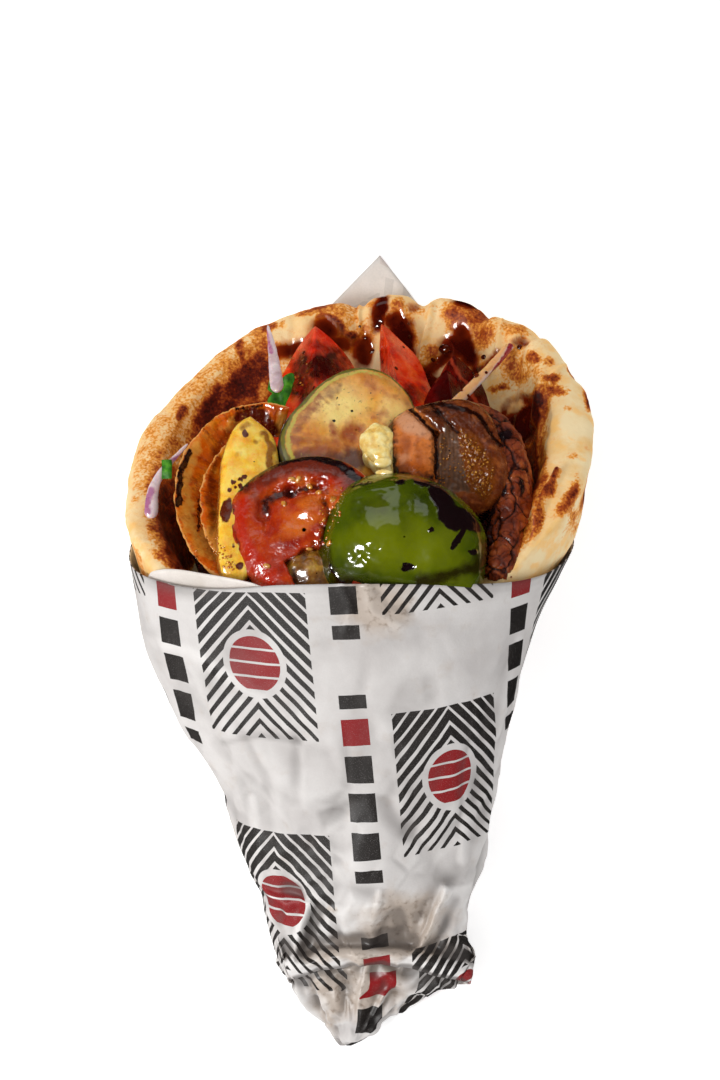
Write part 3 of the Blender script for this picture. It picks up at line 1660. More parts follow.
@dataclass
class PitaBread(Assembly):
    """Flatbread rolled against the paper, its rim gathered by pleats."""

    columns: int = 480
    rows: int = 205
    bottom_y: float = -66.0
    bottom_edges: Pair = (-158.0, 158.0)
    angles: Knots = ((0.0, -132.0), (0.34, -24.0), (0.78, 62.0), (1.0, 134.0))
    rim: Knots = (
        (-132.0, 2.0), (-112.0, 14.0), (-90.0, 26.5), (-70.0, 40.5), (-50.0, 55.5), (-30.0, 71.6),
        (-20.0, 79.6), (-10.0, 84.6), (10.0, 89.8), (20.0, 89.2), (30.0, 86.8), (40.0, 81.4),
        (50.0, 76.5), (70.0, 59.5), (90.0, 43.0), (110.0, 28.0), (134.0, 5.0),
    )
    outer_inset: Knots = ((-40.0, 3.0), (6.0, 2.6), (24.0, 1.35))
    thickness: float = 9.0
    lobe_thickness: float = 12.0
    pleats: tuple[float, ...] = (5.0, 18.5, 34.0, 49.0)
    pleated: Pair = (-8.0, 66.0)
    pleat_notch: float = 2.2
    pleat_bulge: float = 2.2
    pleat_length: float = 34.0
    rim_radius: float = 4.4
    rim_rows: Pair = (0.24, 0.42)
    drop_rise: float = 0.55
    sauce_rise: float = 0.28
    pleat_half: float = 2.6
    toast: Marks = (
        Stroke(((246, 350), (206, 390), (178, 430), (160, 472)), 40, 0.34, 0.9),
        Spot(178, 450, 28, 24, 0.5, 0.9), Spot(258, 392, 26, 40, 0.85, 0.9, 20),
        Stroke(((264, 356), (240, 385), (222, 405), (203, 430)), 26, 0.55, 0.6),
        Stroke(((258, 368), (236, 390), (218, 408), (200, 432)), 17, 0.98, 0.5),
        Stroke(((166, 478), (166, 520), (176, 552)), 20, 0.62, 0.5),
        Stroke(((172, 492), (168, 520), (182, 556)), 15, 0.92, 0.4), Spot(241, 350, 5, 14, 0.85, 0.6, -5),
        Spot(216, 360, 4, 3, 0.5, 0.7), Spot(183, 412, 8, 9, 0.78, 0.7),
        Spot(178, 432, 14, 10, 0.48, 0.8, 20), Spot(164, 452, 22, 8, 0.56, 0.8, -12),
        Spot(150, 468, 10, 8, 0.48, 0.8), Spot(240, 372, 30, 16, 0.5, 0.8, -40),
        Spot(255, 335, 16, 8, 0.5, 0.8, -20), Spot(268, 328, 9, 6, 0.72, 0.7),
        Spot(283, 326, 5, 4, 0.6, 0.7), Spot(205, 385, 16, 6, 0.36, 0.9, -40),
        Spot(134, 500, 5, 5, 0.36, 0.8), Spot(132, 538, 10, 4, 0.5, 0.8),
        Spot(158, 556, 22, 6, 0.62, 0.7, 5), Spot(322, 308, 20, 6, 0.62, 0.7, 5),
        Spot(346, 312, 14, 12, 0.48, 0.8), Spot(330, 326, 17, 14, 1, 0.5, 30),
        Spot(350, 342, 14, 12, 0.95, 0.5), Spot(303, 312, 12, 4, 0.55, 0.7, -8),
        Spot(372, 303, 9, 5, 0.5, 0.7, -20), Spot(398, 308, 8, 12, 0.5, 0.7),
        Spot(420, 312, 8, 5, 0.4, 0.7), Spot(364, 336, 10, 18, 0.6, 0.7, 10),
        Spot(412, 334, 6, 22, 0.5, 0.7, -8), Spot(424, 364, 10, 10, 0.42, 0.8),
        Spot(466, 322, 32, 22, 0.44, 0.8), Spot(398, 322, 28, 24, 0.34, 0.9),
        Spot(520, 370, 30, 30, 0.36, 0.9), Spot(467, 314, 30, 12, 0.66, 0.5, 6),
        Spot(482, 336, 16, 14, 0.55, 0.7, 30), Spot(458, 328, 14, 12, 0.58, 0.6),
        Spot(474, 363, 14, 9, 0.5, 0.7), Spot(432, 355, 12, 8, 0.5, 0.7, -40),
        Spot(515, 330, 18, 9, 0.42, 0.7, 15), Spot(533, 356, 9, 6, 0.82, 0.7, 10),
        Spot(546, 358, 9, 5, 0.5, 0.7, 20), Spot(516, 374, 18, 15, 0.55, 0.8),
        Spot(503, 387, 8, 4, 0.85, 0.7), Spot(494, 388, 7, 5, 0.62, 0.7),
        Spot(520, 360, 22, 10, 0.4, 0.8, 10), Spot(552, 379, 9, 4, 0.74, 0.7, -10),
        Spot(555, 390, 12, 6, 0.84, 0.7, 8), Spot(567, 409, 6, 3, 0.44, 0.7),
        Spot(574, 455, 6, 4, 0.38, 0.7), Spot(556, 437, 8, 3, 0.34, 0.8),
        Spot(546, 497, 8, 4, 0.42, 0.8, 20), Spot(590, 450, 4, 22, 0.4, 0.8),
        Stroke(((546, 392), (538, 425), (536, 460), (538, 486), (530, 506)), 9, 0.62, 0.5),
        Stroke(((539, 398), (530, 425), (528, 460), (530, 486), (523, 506)), 9, 1, 0.4),
        Stroke(((558, 474), (550, 490), (540, 512), (534, 540), (522, 568)), 3, 0.8, 0.8),
        Spot(525, 530, 8, 34, 0.5, 0.7, 14), Spot(514, 545, 7, 36, 0.95, 0.6, 14),
    )
    pale: Marks = (
        Spot(188, 430, 6, 15, 0.5, 0.6), Spot(262, 392, 5, 10, 0.5, 0.6, 10),
        Spot(285, 335, 16, 8, 0.8, 0.5, -10), Spot(436, 328, 8, 16, 0.7, 0.6, 12),
        Spot(513, 408, 9, 6, 1, 0.3, -25), Spot(500, 402, 9, 9, 0.7, 0.5),
    )
    warm: Marks = (
        Stroke(((250, 340), (205, 385), (172, 430), (158, 460), (150, 500)), 26, 0.9, 0.9),
        Spot(258, 392, 26, 40, 0.9, 0.9, 20), Spot(330, 316, 46, 14, 0.7, 0.9, -10),
        Spot(395, 320, 30, 22, 0.6, 0.9), Spot(466, 330, 36, 28, 0.9, 0.8),
        Spot(524, 362, 34, 34, 0.9, 0.9, 20), Spot(520, 405, 26, 20, 0.8, 0.9),
        Stroke(((556, 385), (548, 430), (544, 480), (534, 520)), 9, 0.8, 0.9),
    )
    sauce: Marks = (
        Stroke(((382, 299), (379, 312), (378, 326)), 7, 1, 0.5), Spot(414, 307, 7, 5, 0.9, 0.4),
        Stroke(((397, 322), (404, 338), (406, 352)), 10, 1, 0.4),
        Stroke(((392, 322), (408, 324)), 6, 0.9, 0.5), Spot(470, 303, 20, 5, 0.95, 0.5, 8),
        Spot(455, 346, 18, 12, 1, 0.4), Stroke(((460, 332), (466, 345), (470, 360)), 9, 0.9, 0.5),
        Stroke(((446, 356), (434, 366), (424, 375)), 6, 0.95, 0.5),
        Stroke(((498, 352), (488, 366), (472, 378)), 5, 0.95, 0.5), Spot(520, 342, 9, 6, 1, 0.4, -12),
        Stroke(((500, 416), (507, 402), (520, 396), (532, 402)), 3.6, 0.8, 0.6),
        Stroke(((502, 422), (516, 418), (530, 408), (530, 424)), 5, 0.95, 0.5),
        Spot(514, 434, 22, 12, 1, 0.4), Spot(325, 328, 13, 10, 1, 0.5, 30),
        Stroke(((276, 352), (300, 347), (345, 345)), 8, 0.95, 0.5), Spot(364, 352, 10, 20, 0.95, 0.5),
        Spot(537, 513, 4, 9, 1, 0.4, 6), Spot(425, 384, 18, 8, 1, 0.5),
    )
    drops: tuple[Spot, ...] = (
        Spot(377, 326, 5, 6, 1, 0.8), Spot(443, 350, 7, 8, 1.3, 0.8), Spot(433, 361, 4, 4, 1, 0.8),
        Spot(482, 357, 4, 5, 0.9, 0.8), Spot(476, 374, 5, 4, 0.9, 0.8), Spot(519, 347, 4, 4, 0.9, 0.8),
        Spot(372, 349, 3, 6, 0.8, 0.8, 30), Spot(366, 339, 3, 3, 0.8, 0.8),
        Spot(408, 326, 3, 3, 0.6, 0.8), Spot(411, 338, 3, 3, 0.6, 0.8),
    )
    grooves: Depths = (
        crease(1, 2.2, (361, 301), (359, 316), (360, 332)),
        crease(1.3, 2.4, (432, 306), (430, 322), (424, 345), (421, 370)),
        crease(0.9, 2.2, (502, 321), (499, 335), (497, 352)),
        crease(2.6, 3, (558, 474), (550, 490), (540, 512), (534, 540), (522, 568)),
        crease(1.1, 2.6, (544, 378), (538, 400), (533, 424)), (Spot(538, 513, 4, 10, 1, 0.7, 8), 1.8),
        crease(0.8, 2.6, (566, 366), (556, 372), (548, 384)),
        crease(0.5, 1.6, (400, 303), (404, 314), (410, 330)),
    )

    def pleat_distance(self, angle: Array) -> Array:
        """Degrees from each angle to the nearest pleat."""
        gaps = [np.abs(angle - pleat) for pleat in self.pleats]
        return np.min(np.stack(gaps), axis=0)

    def surface(self, u: Array, v: Array) -> tuple[Array, Array]:
        """Places on the loaf and which side they are on.

        Args:
            u: From zero at the left edge to one at the right edge of the rolled bread.
            v: From zero up the outer side and over the rim to one at the foot inside.

        Returns:
            Places, and minus one outside to plus one inside for each.
        """
        top_angle = smooth_curve(self.angles, u)
        notch = self.pleat_notch * bell(self.pleat_distance(top_angle), self.pleat_half)
        rim = smooth_curve(self.rim, top_angle) - notch
        start, end = self.rim_rows
        over = np.clip((v - start) / (end - start), 0.0, 1.0) * np.pi
        side = -np.cos(over)
        outer = np.clip((start - v) / start, 0.0, 1.0) ** 1.7
        inner = np.clip((v - end) / (1.0 - end), 0.0, 1.0)
        inner = 0.46 * inner + 0.54 * inner**4
        depth = self.rim_radius * (1.0 - np.sin(over))
        depth = depth + (outer + inner) * (rim - self.bottom_y - self.rim_radius)
        y = rim - depth
        climb = np.clip((y - self.bottom_y) / (rim - self.bottom_y), 0.0, 1.0)
        low_edge = self.bottom_edges[0] + (self.bottom_edges[1] - self.bottom_edges[0]) * u
        angle = low_edge + (top_angle - low_edge) * climb**1.5
        thickness = self.thickness
        thickness = thickness + (self.lobe_thickness - self.thickness) * bell(angle - 98.0, 34.0)
        end = np.clip(np.minimum(u, 1.0 - u) * 40.0 / 1.7, 0.0, 1.0)
        foot = np.clip((y - self.bottom_y) / 4.0, 0.0, 1.0)
        full = np.sqrt(1.0 - (1.0 - end) ** 2) * np.sqrt(1.0 - (1.0 - foot) ** 2)
        gather = np.maximum(0.0, 1.0 - depth / self.pleat_length)
        first, last = self.pleated
        window = smooth_step(first - 1.5, first + 1.5, top_angle)
        window = window * (1.0 - smooth_step(last - 2.0, last + 2.0, top_angle))
        lobe = (1.0 - bell(self.pleat_distance(angle), self.pleat_half)) * window
        middle = smooth_curve(self.outer_inset, y) + thickness / 2.0
        middle = middle + self.pleat_bulge * lobe * gather
        return CONE.point(angle, y, middle + side * full * thickness / 2.0), side

    def build(self) -> None:
        """Make the bread."""
        sides: list[Array] = []

        def shape(u: Array, v: Array) -> Array:
            """Places on the loaf, with their sides kept."""
            places, side = self.surface(u, v)
            sides.append(side)
            return places

        form = sheet("pita_bread_crust", self.columns, self.rows, shape)
        inner = smooth_step(-0.9, -0.3, sides[0])
        points, places = form.points(), form.places()
        sauce = painted(points, self.sauce, 2.2, 3) * inner
        toast = painted(points, self.toast, 3.0, 11) * inner
        toast *= 1.0 - painted(points, self.pale, 1.5, 17) * 0.85
        outside = smooth_step(0.15, 0.75, fractal(places, 16.0, 71)) * 0.75 * (1.0 - inner)
        halo = spread_out(np.maximum(toast, 0.8 * sauce), self.columns, 6)
        wide = spread_out(halo, self.columns, 10)
        sauce = np.clip(0.45 * sauce + 0.75 * spread_out(sauce, self.columns, 4), 0.0, 1.0)
        toast = np.maximum(toast * 0.86, np.minimum(halo * 0.8, 0.14))
        form.mask("toast", np.maximum(toast, outside))
        warm = painted(points, self.warm, 4.0, 19) * inner * 0.5 + halo * 0.5 + wide * 0.4
        form.mask("warm", np.clip(warm, 0.0, 1.0))
        form.mask("sauce", sauce)
        shown = smooth_step(-8.0, 4.0, places[:, 1])
        bubbles = fractal(places, 9.0, 81) * 0.45 + fractal(places, 2.6, 82) * 0.14
        lift = bubbles * shown * (1.0 - 0.7 * sauce)
        lift += self.sauce_rise * smooth_step(0.35, 0.7, sauce) * inner
        for drop in self.drops:
            lift += self.drop_rise * drop.cover(points) * inner
        for groove, depth in self.grooves:
            lift -= groove.cover(points) * depth * inner
        form.swell(lift)
        form.close()
        form.finish(BreadFinish().build(self.effects), Slot.BREAD, "pita_bread")


# ---- Filling ----


@dataclass
class SaucedCore(Assembly):
    """Dark sauce and chopped pieces under the vegetables that show."""

    lump_size: float = 7.0
    lump_height: float = 1.7
    edge_length: float = 1.5
    rounds: int = 5

    def build(self) -> None:
        """Make the core from its CAD solid, cut finer and lumpy on top."""
        bm = bmesh.new()
        bm.from_mesh(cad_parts["filling_core"].data)
        bmesh.ops.remove_doubles(bm, verts=bm.verts, dist=WELD)
        bmesh.ops.dissolve_limit(bm, angle_limit=0.02, verts=bm.verts, edges=bm.edges)
        bmesh.ops.triangulate(bm, faces=bm.faces)
        for _ in range(self.rounds):
            long_edges = [edge for edge in bm.edges if edge.calc_length() > self.edge_length * MM]
            if not long_edges:
                break
            bmesh.ops.subdivide_edges(bm, edges=long_edges, cuts=1)
            bmesh.ops.triangulate(bm, faces=bm.faces)
        bmesh.ops.recalc_face_normals(bm, faces=bm.faces)
        form = Form("sauced_filling", bm)
        places = form.places()
        near, _, number = cell_noise(places, self.lump_size, 91)
        lumps = (1.0 - near) * (0.6 + number) * self.lump_height + fractal(places, 3.0, 92) * 0.4
        top = smooth_step(0.3, 0.7, form.normals()[:, 2])
        form.swell(lumps * top)
        finish = FoodFinish(
            name="dark_sauce", tones=((22, 2, 1), (52, 7, 2), (96, 28, 5)), mottle=5.0,
            roughness=0.2, relief_size=1.4, relief_depth=0.25, coat=0.5,
        )
        form.finish(finish.build(self.effects), Slot.CORE, "filling_core")


@dataclass
class GreenPepper(Assembly):
    """Chunk of grilled green pepper, skin up: wet, dented, with lifted black skin."""

    shape: Round = Round((20.8, 16.4, 16.9), 2.7, 2.2, 4.0, 1.75)
    placement: Placement = Placement((10.0, 17.8, 64.0), (4.0, 2.0, -3.0))
    narrowing: float = 0.13
    char_rise: float = 0.25
    droplet_rise: float = 0.26
    sparkle: Mark = Patch(((342, 542), (372, 540), (392, 556), (380, 572), (348, 568)), 5)
    char: Marks = (
        Spot(425, 480, 14, 6, 1, 0.3, 6), Spot(399, 482, 6, 3, 0.8, 0.5),
        Stroke(((436, 490), (448, 508), (464, 520), (478, 524)), 9, 1, 0.35),
        Spot(452, 518, 16, 11, 1, 0.35, 30), Stroke(((463, 530), (457, 540), (453, 547)), 3.2, 1, 0.4),
        Spot(431, 530, 2.5, 3.5, 0.9, 0.5), Spot(473, 552, 4, 3, 1, 0.4),
        Spot(408, 567, 7, 3.5, 1, 0.3, -12), Stroke(((330, 566), (336, 576), (344, 582)), 2, 0.7, 0.7),
        Stroke(((350, 486), (362, 484), (372, 483)), 1.6, 0.7, 0.6),
    )
    shaded: Marks = (
        Stroke(((420, 580), (450, 576), (478, 566), (486, 545)), 7, 0.9, 0.9),
        Stroke(((322, 548), (326, 566), (338, 580), (356, 584)), 6, 0.8, 0.9),
        Spot(374, 505, 16, 8, 0.35, 0.9, -10),
    )
    blush: Marks = (Spot(402, 545, 60, 26, 0.9, 0.8, 5), Spot(470, 500, 8, 26, 0.7, 0.7, -35))
    dents: Depths = (
        crease(0.6, 9, (416, 484), (413, 510), (414, 540), (416, 566)),
        (Spot(381, 507, 22, 11, 1, 0.9, -8), 0.7), (Spot(400, 535, 14, 10, 1, 0.9), -0.7),
        crease(-0.5, 4, (345, 497), (375, 487), (410, 482), (440, 486)),
        crease(-0.8, 3, (440, 484), (460, 503), (481, 522)), (Spot(408, 567, 7, 3.5, 1, 0.3, -12), 0.9),
        (Spot(357, 545, 26, 22, 1, 0.9), -0.9), (Spot(452, 545, 22, 18, 1, 0.9), -0.6),
    )

    def build(self) -> None:
        """Make the pepper."""
        form = ball("green_pepper_skin")
        local = self.shape.apply(form.places())
        back_left = smooth_step(-6.0, 16.0, local[:, 1]) * (local[:, 0] < 0.0)
        local[:, 0] *= 1.0 - self.narrowing * back_left
        form.move(self.placement.apply(local))
        points = form.points()
        lift = fractal(form.places(), 12.0, 101) * 0.35 + fractal(form.places(), 4.0, 102) * 0.24
        for dent, depth in self.dents:
            lift -= dent.cover(points) * depth
        form.raise_up(lift)
        form.tuck()
        char = painted(points, self.char, 1.6, 13)
        droplets = fractal(form.places(), 1.7, 103, 2) * self.droplet_rise * self.sparkle.cover(points)
        form.raise_up(self.char_rise * smooth_step(0.4, 0.6, char) + droplets)
        form.mask("char", char * form.facing())
        form.mask("blush", painted(points, self.blush, 4.0, 14))
        form.paint(points, 3.0, shaded=self.shaded)
        finish = FoodFinish(
            name="wet_pepper_skin",
            tones=((46, 58, 0), (70, 84, 0), (92, 102, 2)), light_at=0.75, mottle=9.0,
            overlays=(
                Overlay("blush", (106, 116, 0), 8, 0.6, 1.4), Overlay("shaded", (40, 36, 2), 4, 0.5, 1.3),
                Overlay("char", (26, 12, 14), 1.4, 0.4, 3),
            ),
            roughness=0.14, dryness=1.3, relief_size=2.4, relief_depth=0.08, coat=0.6,
        )
        form.finish(finish.build(self.effects), Slot.PEPPER, "green_pepper")


@dataclass
class TomatoSlice(Assembly):
    """Grilled slice of tomato: charred skin, flesh ring, wet pocket, core and a cut-away corner."""

    shape: Round = Round((20.0, 20.6, 5.2), 2.1, 4.5)
    placement: Placement = Placement((-12.4, 18.2, 66.5), (-16.0, -8.0, 12.0))
    left_edge: Knots = (
        (470.0, 0.0), (495.0, -1.2), (515.0, -2.0), (535.0, -0.6), (555.0, 1.4), (580.0, 3.6),
    )
    cut_away: Patch = Patch(
        ((286, 562), (298, 556), (304, 550), (326, 546), (350, 560), (350, 600), (304, 600)), 2.0
    )
    pockets: Depths = (
        (Stroke(((264, 514), (265, 503), (274, 495), (290, 491)), 6.5, 1, 0.4), 1.6),
        (Stroke(((290, 491), (306, 487), (322, 484)), 4.5, 1, 0.6), 2.2),
        (Stroke(((324, 500), (331, 512), (328, 530), (322, 544)), 3, 1, 0.7), 1.5),
        (Stroke(((268, 516), (266, 530)), 2.5, 1, 0.8), 0.8),
        crease(0.5, 2, (240, 500), (234, 520), (240, 546)),
    )
    swells: Depths = (
        (Spot(296, 526, 27, 17, 1, 0.7, -35), 1.6), (Spot(312, 508, 15, 10, 1, 0.7), 1.2),
        crease(1, 9, (245, 500), (244, 530), (258, 560)),
        crease(0.7, 7, (262, 480), (290, 470), (330, 472)), (Spot(338, 508, 8, 22, 1, 0.8, 10), 1.0),
    )
    lumpy: Marks = (
        Patch(((318, 488), (340, 486), (350, 500), (345, 534), (322, 552), (300, 556), (318, 536)), 4),
        Patch(((288, 474), (316, 474), (322, 488), (292, 492)), 3, 0.8),
    )
    char: Marks = (
        Stroke(((240, 488), (252, 475), (270, 465), (290, 459), (314, 457), (340, 464), (364, 484)),
               4.0, 1.0, 0.7),
    )
    brown: Marks = (
        Stroke(((250, 486), (268, 474), (290, 466), (318, 465), (345, 474), (362, 490)), 9, 1, 0.9),
        Spot(256, 494, 9, 6, 0.6, 0.8, -30),
    )
    wet_dark: Marks = (
        Stroke(((265, 510), (266, 501), (276, 495), (290, 492)), 4.6, 0.9, 0.9),
        Stroke(((290, 491), (306, 488), (318, 486)), 2.6, 0.8, 0.9),
        Stroke(((324, 502), (330, 514), (327, 528), (321, 544)), 1.8, 0.7, 0.8),
        Stroke(((233, 505), (232, 525), (240, 550)), 1.6, 0.6, 0.8),
    )
    pale: Marks = (
        Spot(300, 524, 24, 10, 0.9, 0.8, -38), Spot(312, 503, 16, 8, 0.95, 0.7),
        Spot(300, 480, 12, 5, 0.7, 0.6), Spot(333, 508, 8, 18, 0.7, 0.8),
    )
    bright: Marks = (
        Stroke(((242, 505), (240, 530), (254, 562), (272, 580)), 8, 0.9, 0.8),
        Spot(330, 478, 12, 6, 0.8, 0.8, 20), Spot(350, 488, 8, 5, 0.7, 0.8, 20),
    )

    def build(self) -> None:
        """Make the slice."""
        form = ball("tomato_slice_flesh")
        places = self.placement.apply(self.shape.apply(form.places()))
        form.move(places)
        across, down = form.points().T
        places[:, 0] += smooth_curve(self.left_edge, down) * smooth_step(300.0, 245.0, across)
        form.move(places)
        points = form.points()
        lumpy = painted(points, self.lumpy, 1.5)
        near, _, number = cell_noise(places, 1.9, 113)
        lift = fractal(places, 7.0, 111) * 0.35 + fractal(places, 2.2, 112) * 0.12
        lift += lumpy * ((0.6 - near) * 1.5 + (number - 0.5) * 0.9)
        for pocket, depth in self.pockets:
            lift -= pocket.cover(points) * depth
        for swell, height in self.swells:
            lift += swell.cover(points) * height
        cut_away = painted(points, (self.cut_away,), 1.0)
        form.raise_up(lift * (1.0 - cut_away) - 7.0 * cut_away)
        form.relax(1)
        form.tuck()
        facing = form.facing()
        form.mask("hollow", np.maximum(lumpy * smooth_step(0.5, 0.9, near), cut_away))
        form.mask("skin", 1.0 - smooth_step(0.2, 0.7, form.normals()[:, 2]))
        form.paint(points, 1.6, char=self.char)
        form.mask("brown", painted(points, self.brown, 3.0) * facing)
        form.paint(points, 1.2, wet=self.wet_dark)
        form.paint(points, 3.0, pale=self.pale, bright=self.bright)
        finish = FoodFinish(
            name="grilled_tomato_flesh", tones=((146, 24, 1), (178, 50, 5), (202, 86, 16)), mottle=5.0,
            overlays=(
                Overlay("pale", (206, 98, 22), 3, 0.6, 1.4), Overlay("bright", (184, 36, 5), 3, 0.4, 1.4),
                Overlay("skin", (150, 24, 4), 3, 0.3, 1.6), Overlay("brown", (112, 36, 18), 3, 0.5, 1.4),
                Overlay("char", (30, 10, 12), 1.2, 0.5, 2.2), Overlay("wet", (66, 14, 5), 1.4, 0.5, 1.7),
            ),
            hollow=(96, 20, 4), roughness=0.16, relief_size=1.3, relief_depth=0.26, coat=0.5,
            scatter=0.2, scatter_reach=1.2, specks=0.05,
        )
        form.finish(finish.build(self.effects), Slot.TOMATO, "tomato_slice")


@dataclass
class Zucchini(Assembly):
    """Grilled slice of zucchini on its cut face, with the soft pulp that comes out of it."""

    shape: Round = Round((17.2, 18.8, 4.4), 2.0, 5.0)
    placement: Placement = Placement((-0.6, 45.2, 52.0), (-20.0, 4.0, -14.0))
    lean_left: float = 0.24
    dish_depth: float = 0.7
    dish_radius: float = 9.0
    narrowing: float = 0.16
    skin_from: float = 0.93
    light_ring: float = 0.885
    seed_size: Point = (1.3, 2.3, 0.8)
    pulp_shape: Round = Round((4.0, 7.6, 3.6))
    pulp_placement: Placement = Placement((4.6, 40.4, 60.0), (-16.0, 0.0, 6.0))
    brown: Marks = (
        Spot(350, 437, 10, 15, 0.85, 0.8, 30), Spot(334, 430, 4, 10, 0.8, 0.7, 10),
        Spot(318, 446, 34, 11, 0.7, 0.9), Stroke(((296, 440), (302, 420), (314, 398)), 8, 0.5, 0.9),
        Spot(384, 414, 10, 3.5, 0.55, 0.8, -5), Spot(390, 440, 6, 14, 0.5, 0.8),
        Spot(300, 442, 10, 12, 0.4, 0.8), Stroke(((340, 380), (368, 384), (392, 398)), 4, 0.35, 0.9),
    )
    film: Marks = (
        Stroke(((280, 462), (300, 455), (330, 456), (352, 462)), 7, 0.9, 0.8),
        Stroke(((294, 438), (304, 418), (318, 400), (338, 386)), 5, 0.5, 0.9),
        Spot(352, 460, 14, 10, 1, 0.6),
    )
    glow: Marks = (Spot(340, 408, 28, 20, 1, 0.9, -10), Spot(392, 412, 12, 14, 0.7, 0.9))
    dots: Marks = (
        Spot(334, 421, 1.8, 1.4, 1, 0.3), Spot(352, 411, 1.6, 1.2, 1, 0.3),
        Spot(337, 398, 0.9, 0.9, 1, 0.3), Spot(353, 391, 0.8, 0.8, 1, 0.3),
        Spot(320, 423, 0.9, 0.7, 1, 0.3), Spot(371, 393, 0.8, 0.8, 1, 0.3),
    )
    seeds: tuple[Point, ...] = ((366, 461, 50.0), (373, 468, 80.0), (381, 464, 110.0), (384, 472, 60.0),)

    def build_slice(self) -> None:
        """Make the slice."""
        form = ball("zucchini_slice_flesh")
        local = self.shape.apply(form.places())
        reach = np.hypot(local[:, 0] / self.shape.size[0], local[:, 1] / self.shape.size[1])
        dish = bell(np.hypot(local[:, 0], local[:, 1]), self.dish_radius)
        local[:, 2] -= self.dish_depth * dish * (local[:, 2] > 0.0)
        local[:, 0] += self.lean_left * np.minimum(local[:, 1] - 4.0, 0.0)
        local[:, 0] *= 1.0 - self.narrowing * smooth_step(-6.0, 17.0, local[:, 1])
        form.move(self.placement.apply(local))
        points, places = form.points(), form.places()
        wander = fractal(places, 3.0, 123) * 0.02
        left = smooth_step(12.0, -8.0, local[:, 0])
        skin = smooth_step(self.skin_from, self.skin_from + 0.02, reach + wander + 0.02 * left)
        light = bell(reach + wander - self.light_ring, 0.032) * left
        lift = fractal(places, 8.0, 121) * 0.3 + fractal(places, 2.4, 122) * 0.07
        form.raise_up(lift + 0.35 * bell(reach - 0.95, 0.05))
        form.paint(points, 3.0, brown=self.brown, film=self.film)
        form.paint(points, 4.0, glow=self.glow)
        form.mask("skin", skin)
        form.mask("light", light)
        form.mask("outer", smooth_step(0.965, 0.985, reach + wander))
        form.mask("edge", bell(reach - 0.88, 0.07) * 0.6)
        spread = np.arctan2(local[:, 1], local[:, 0])
        rays = fractal(np.stack([spread * 26.0, reach * 3.0, 0.0 * reach], axis=1), 1.0, 127)
        rays = smooth_step(0.1, 0.9, rays) * smooth_step(0.45, 0.8, reach)
        form.mask("rays", rays * smooth_step(6.0, -8.0, local[:, 0] + 0.5 * local[:, 1]) * 0.8)
        form.paint(points, 0.0, dots=self.dots)
        finish = FoodFinish(
            name="grilled_zucchini_flesh",
            tones=((196, 104, 10), (228, 148, 34), (252, 186, 66)), light_at=0.7, mottle=4.0,
            overlays=(
                Overlay("glow", (255, 220, 128), 6, 0.4, 1.2),
                Overlay("edge", (186, 120, 30), 2, 0.8, 1.2), Overlay("rays", (172, 112, 40), 1, 0.4, 1.2),
                Overlay("film", (120, 68, 42), 2.2, 0.7, 1.3),
                Overlay("brown", (170, 80, 8), 2.2, 0.7, 1.4),
                Overlay("light", (196, 178, 62), 0.6, 0.9, 1.8),
                Overlay("skin", (112, 106, 22), 0.8, 0.9, 2), Overlay("outer", (50, 46, 4), 0.8, 0.9, 2),
                Overlay("dots", (30, 14, 8), 1, 0.1, 6),
            ),
            roughness=0.32, relief_size=1.5, relief_depth=0.14, coat=0.5, coat_roughness=0.12,
            scatter=0.3, scatter_reach=2.0, specks=0.05,
        )
        form.finish(finish.build(self.effects), Slot.ZUCCHINI, "zucchini_slice")

    def build_pulp(self) -> None:
        """Make the pulp and the ridged seeds at its lower end."""
        form = ball("zucchini_pulp_flesh", 6)
        local = self.pulp_shape.apply(form.places())
        local[:, 0] *= 1.0 + 0.3 * np.sin(local[:, 1] * 0.42)
        local[:, 0] += 1.2 * smooth_step(1.0, -6.0, local[:, 1])
        form.move(self.pulp_placement.apply(local))
        form.roughen(((3.2, 0.55), (1.2, 0.14)), 131)
        finish = FoodFinish(
            name="zucchini_pulp_flesh", tones=((244, 200, 100), (252, 224, 138), (255, 240, 176)),
            light_at=0.7, mottle=2.0, hollow=(224, 164, 64), roughness=0.18, relief_size=0.9,
            relief_depth=0.12, coat=0.5,
        )
        material = finish.build(self.effects)
        form.finish(material, Slot.SEEDS, "zucchini_pulp")
        seeds = [Bit(x, y, self.seed_size, turn) for x, y, turn in self.seeds]
        morsels("zucchini_seed_group", seeds, 3).finish(material, Slot.SEEDS)

    def build(self) -> None:
        """Make the slice and its pulp."""
        self.build_slice()
        self.build_pulp()


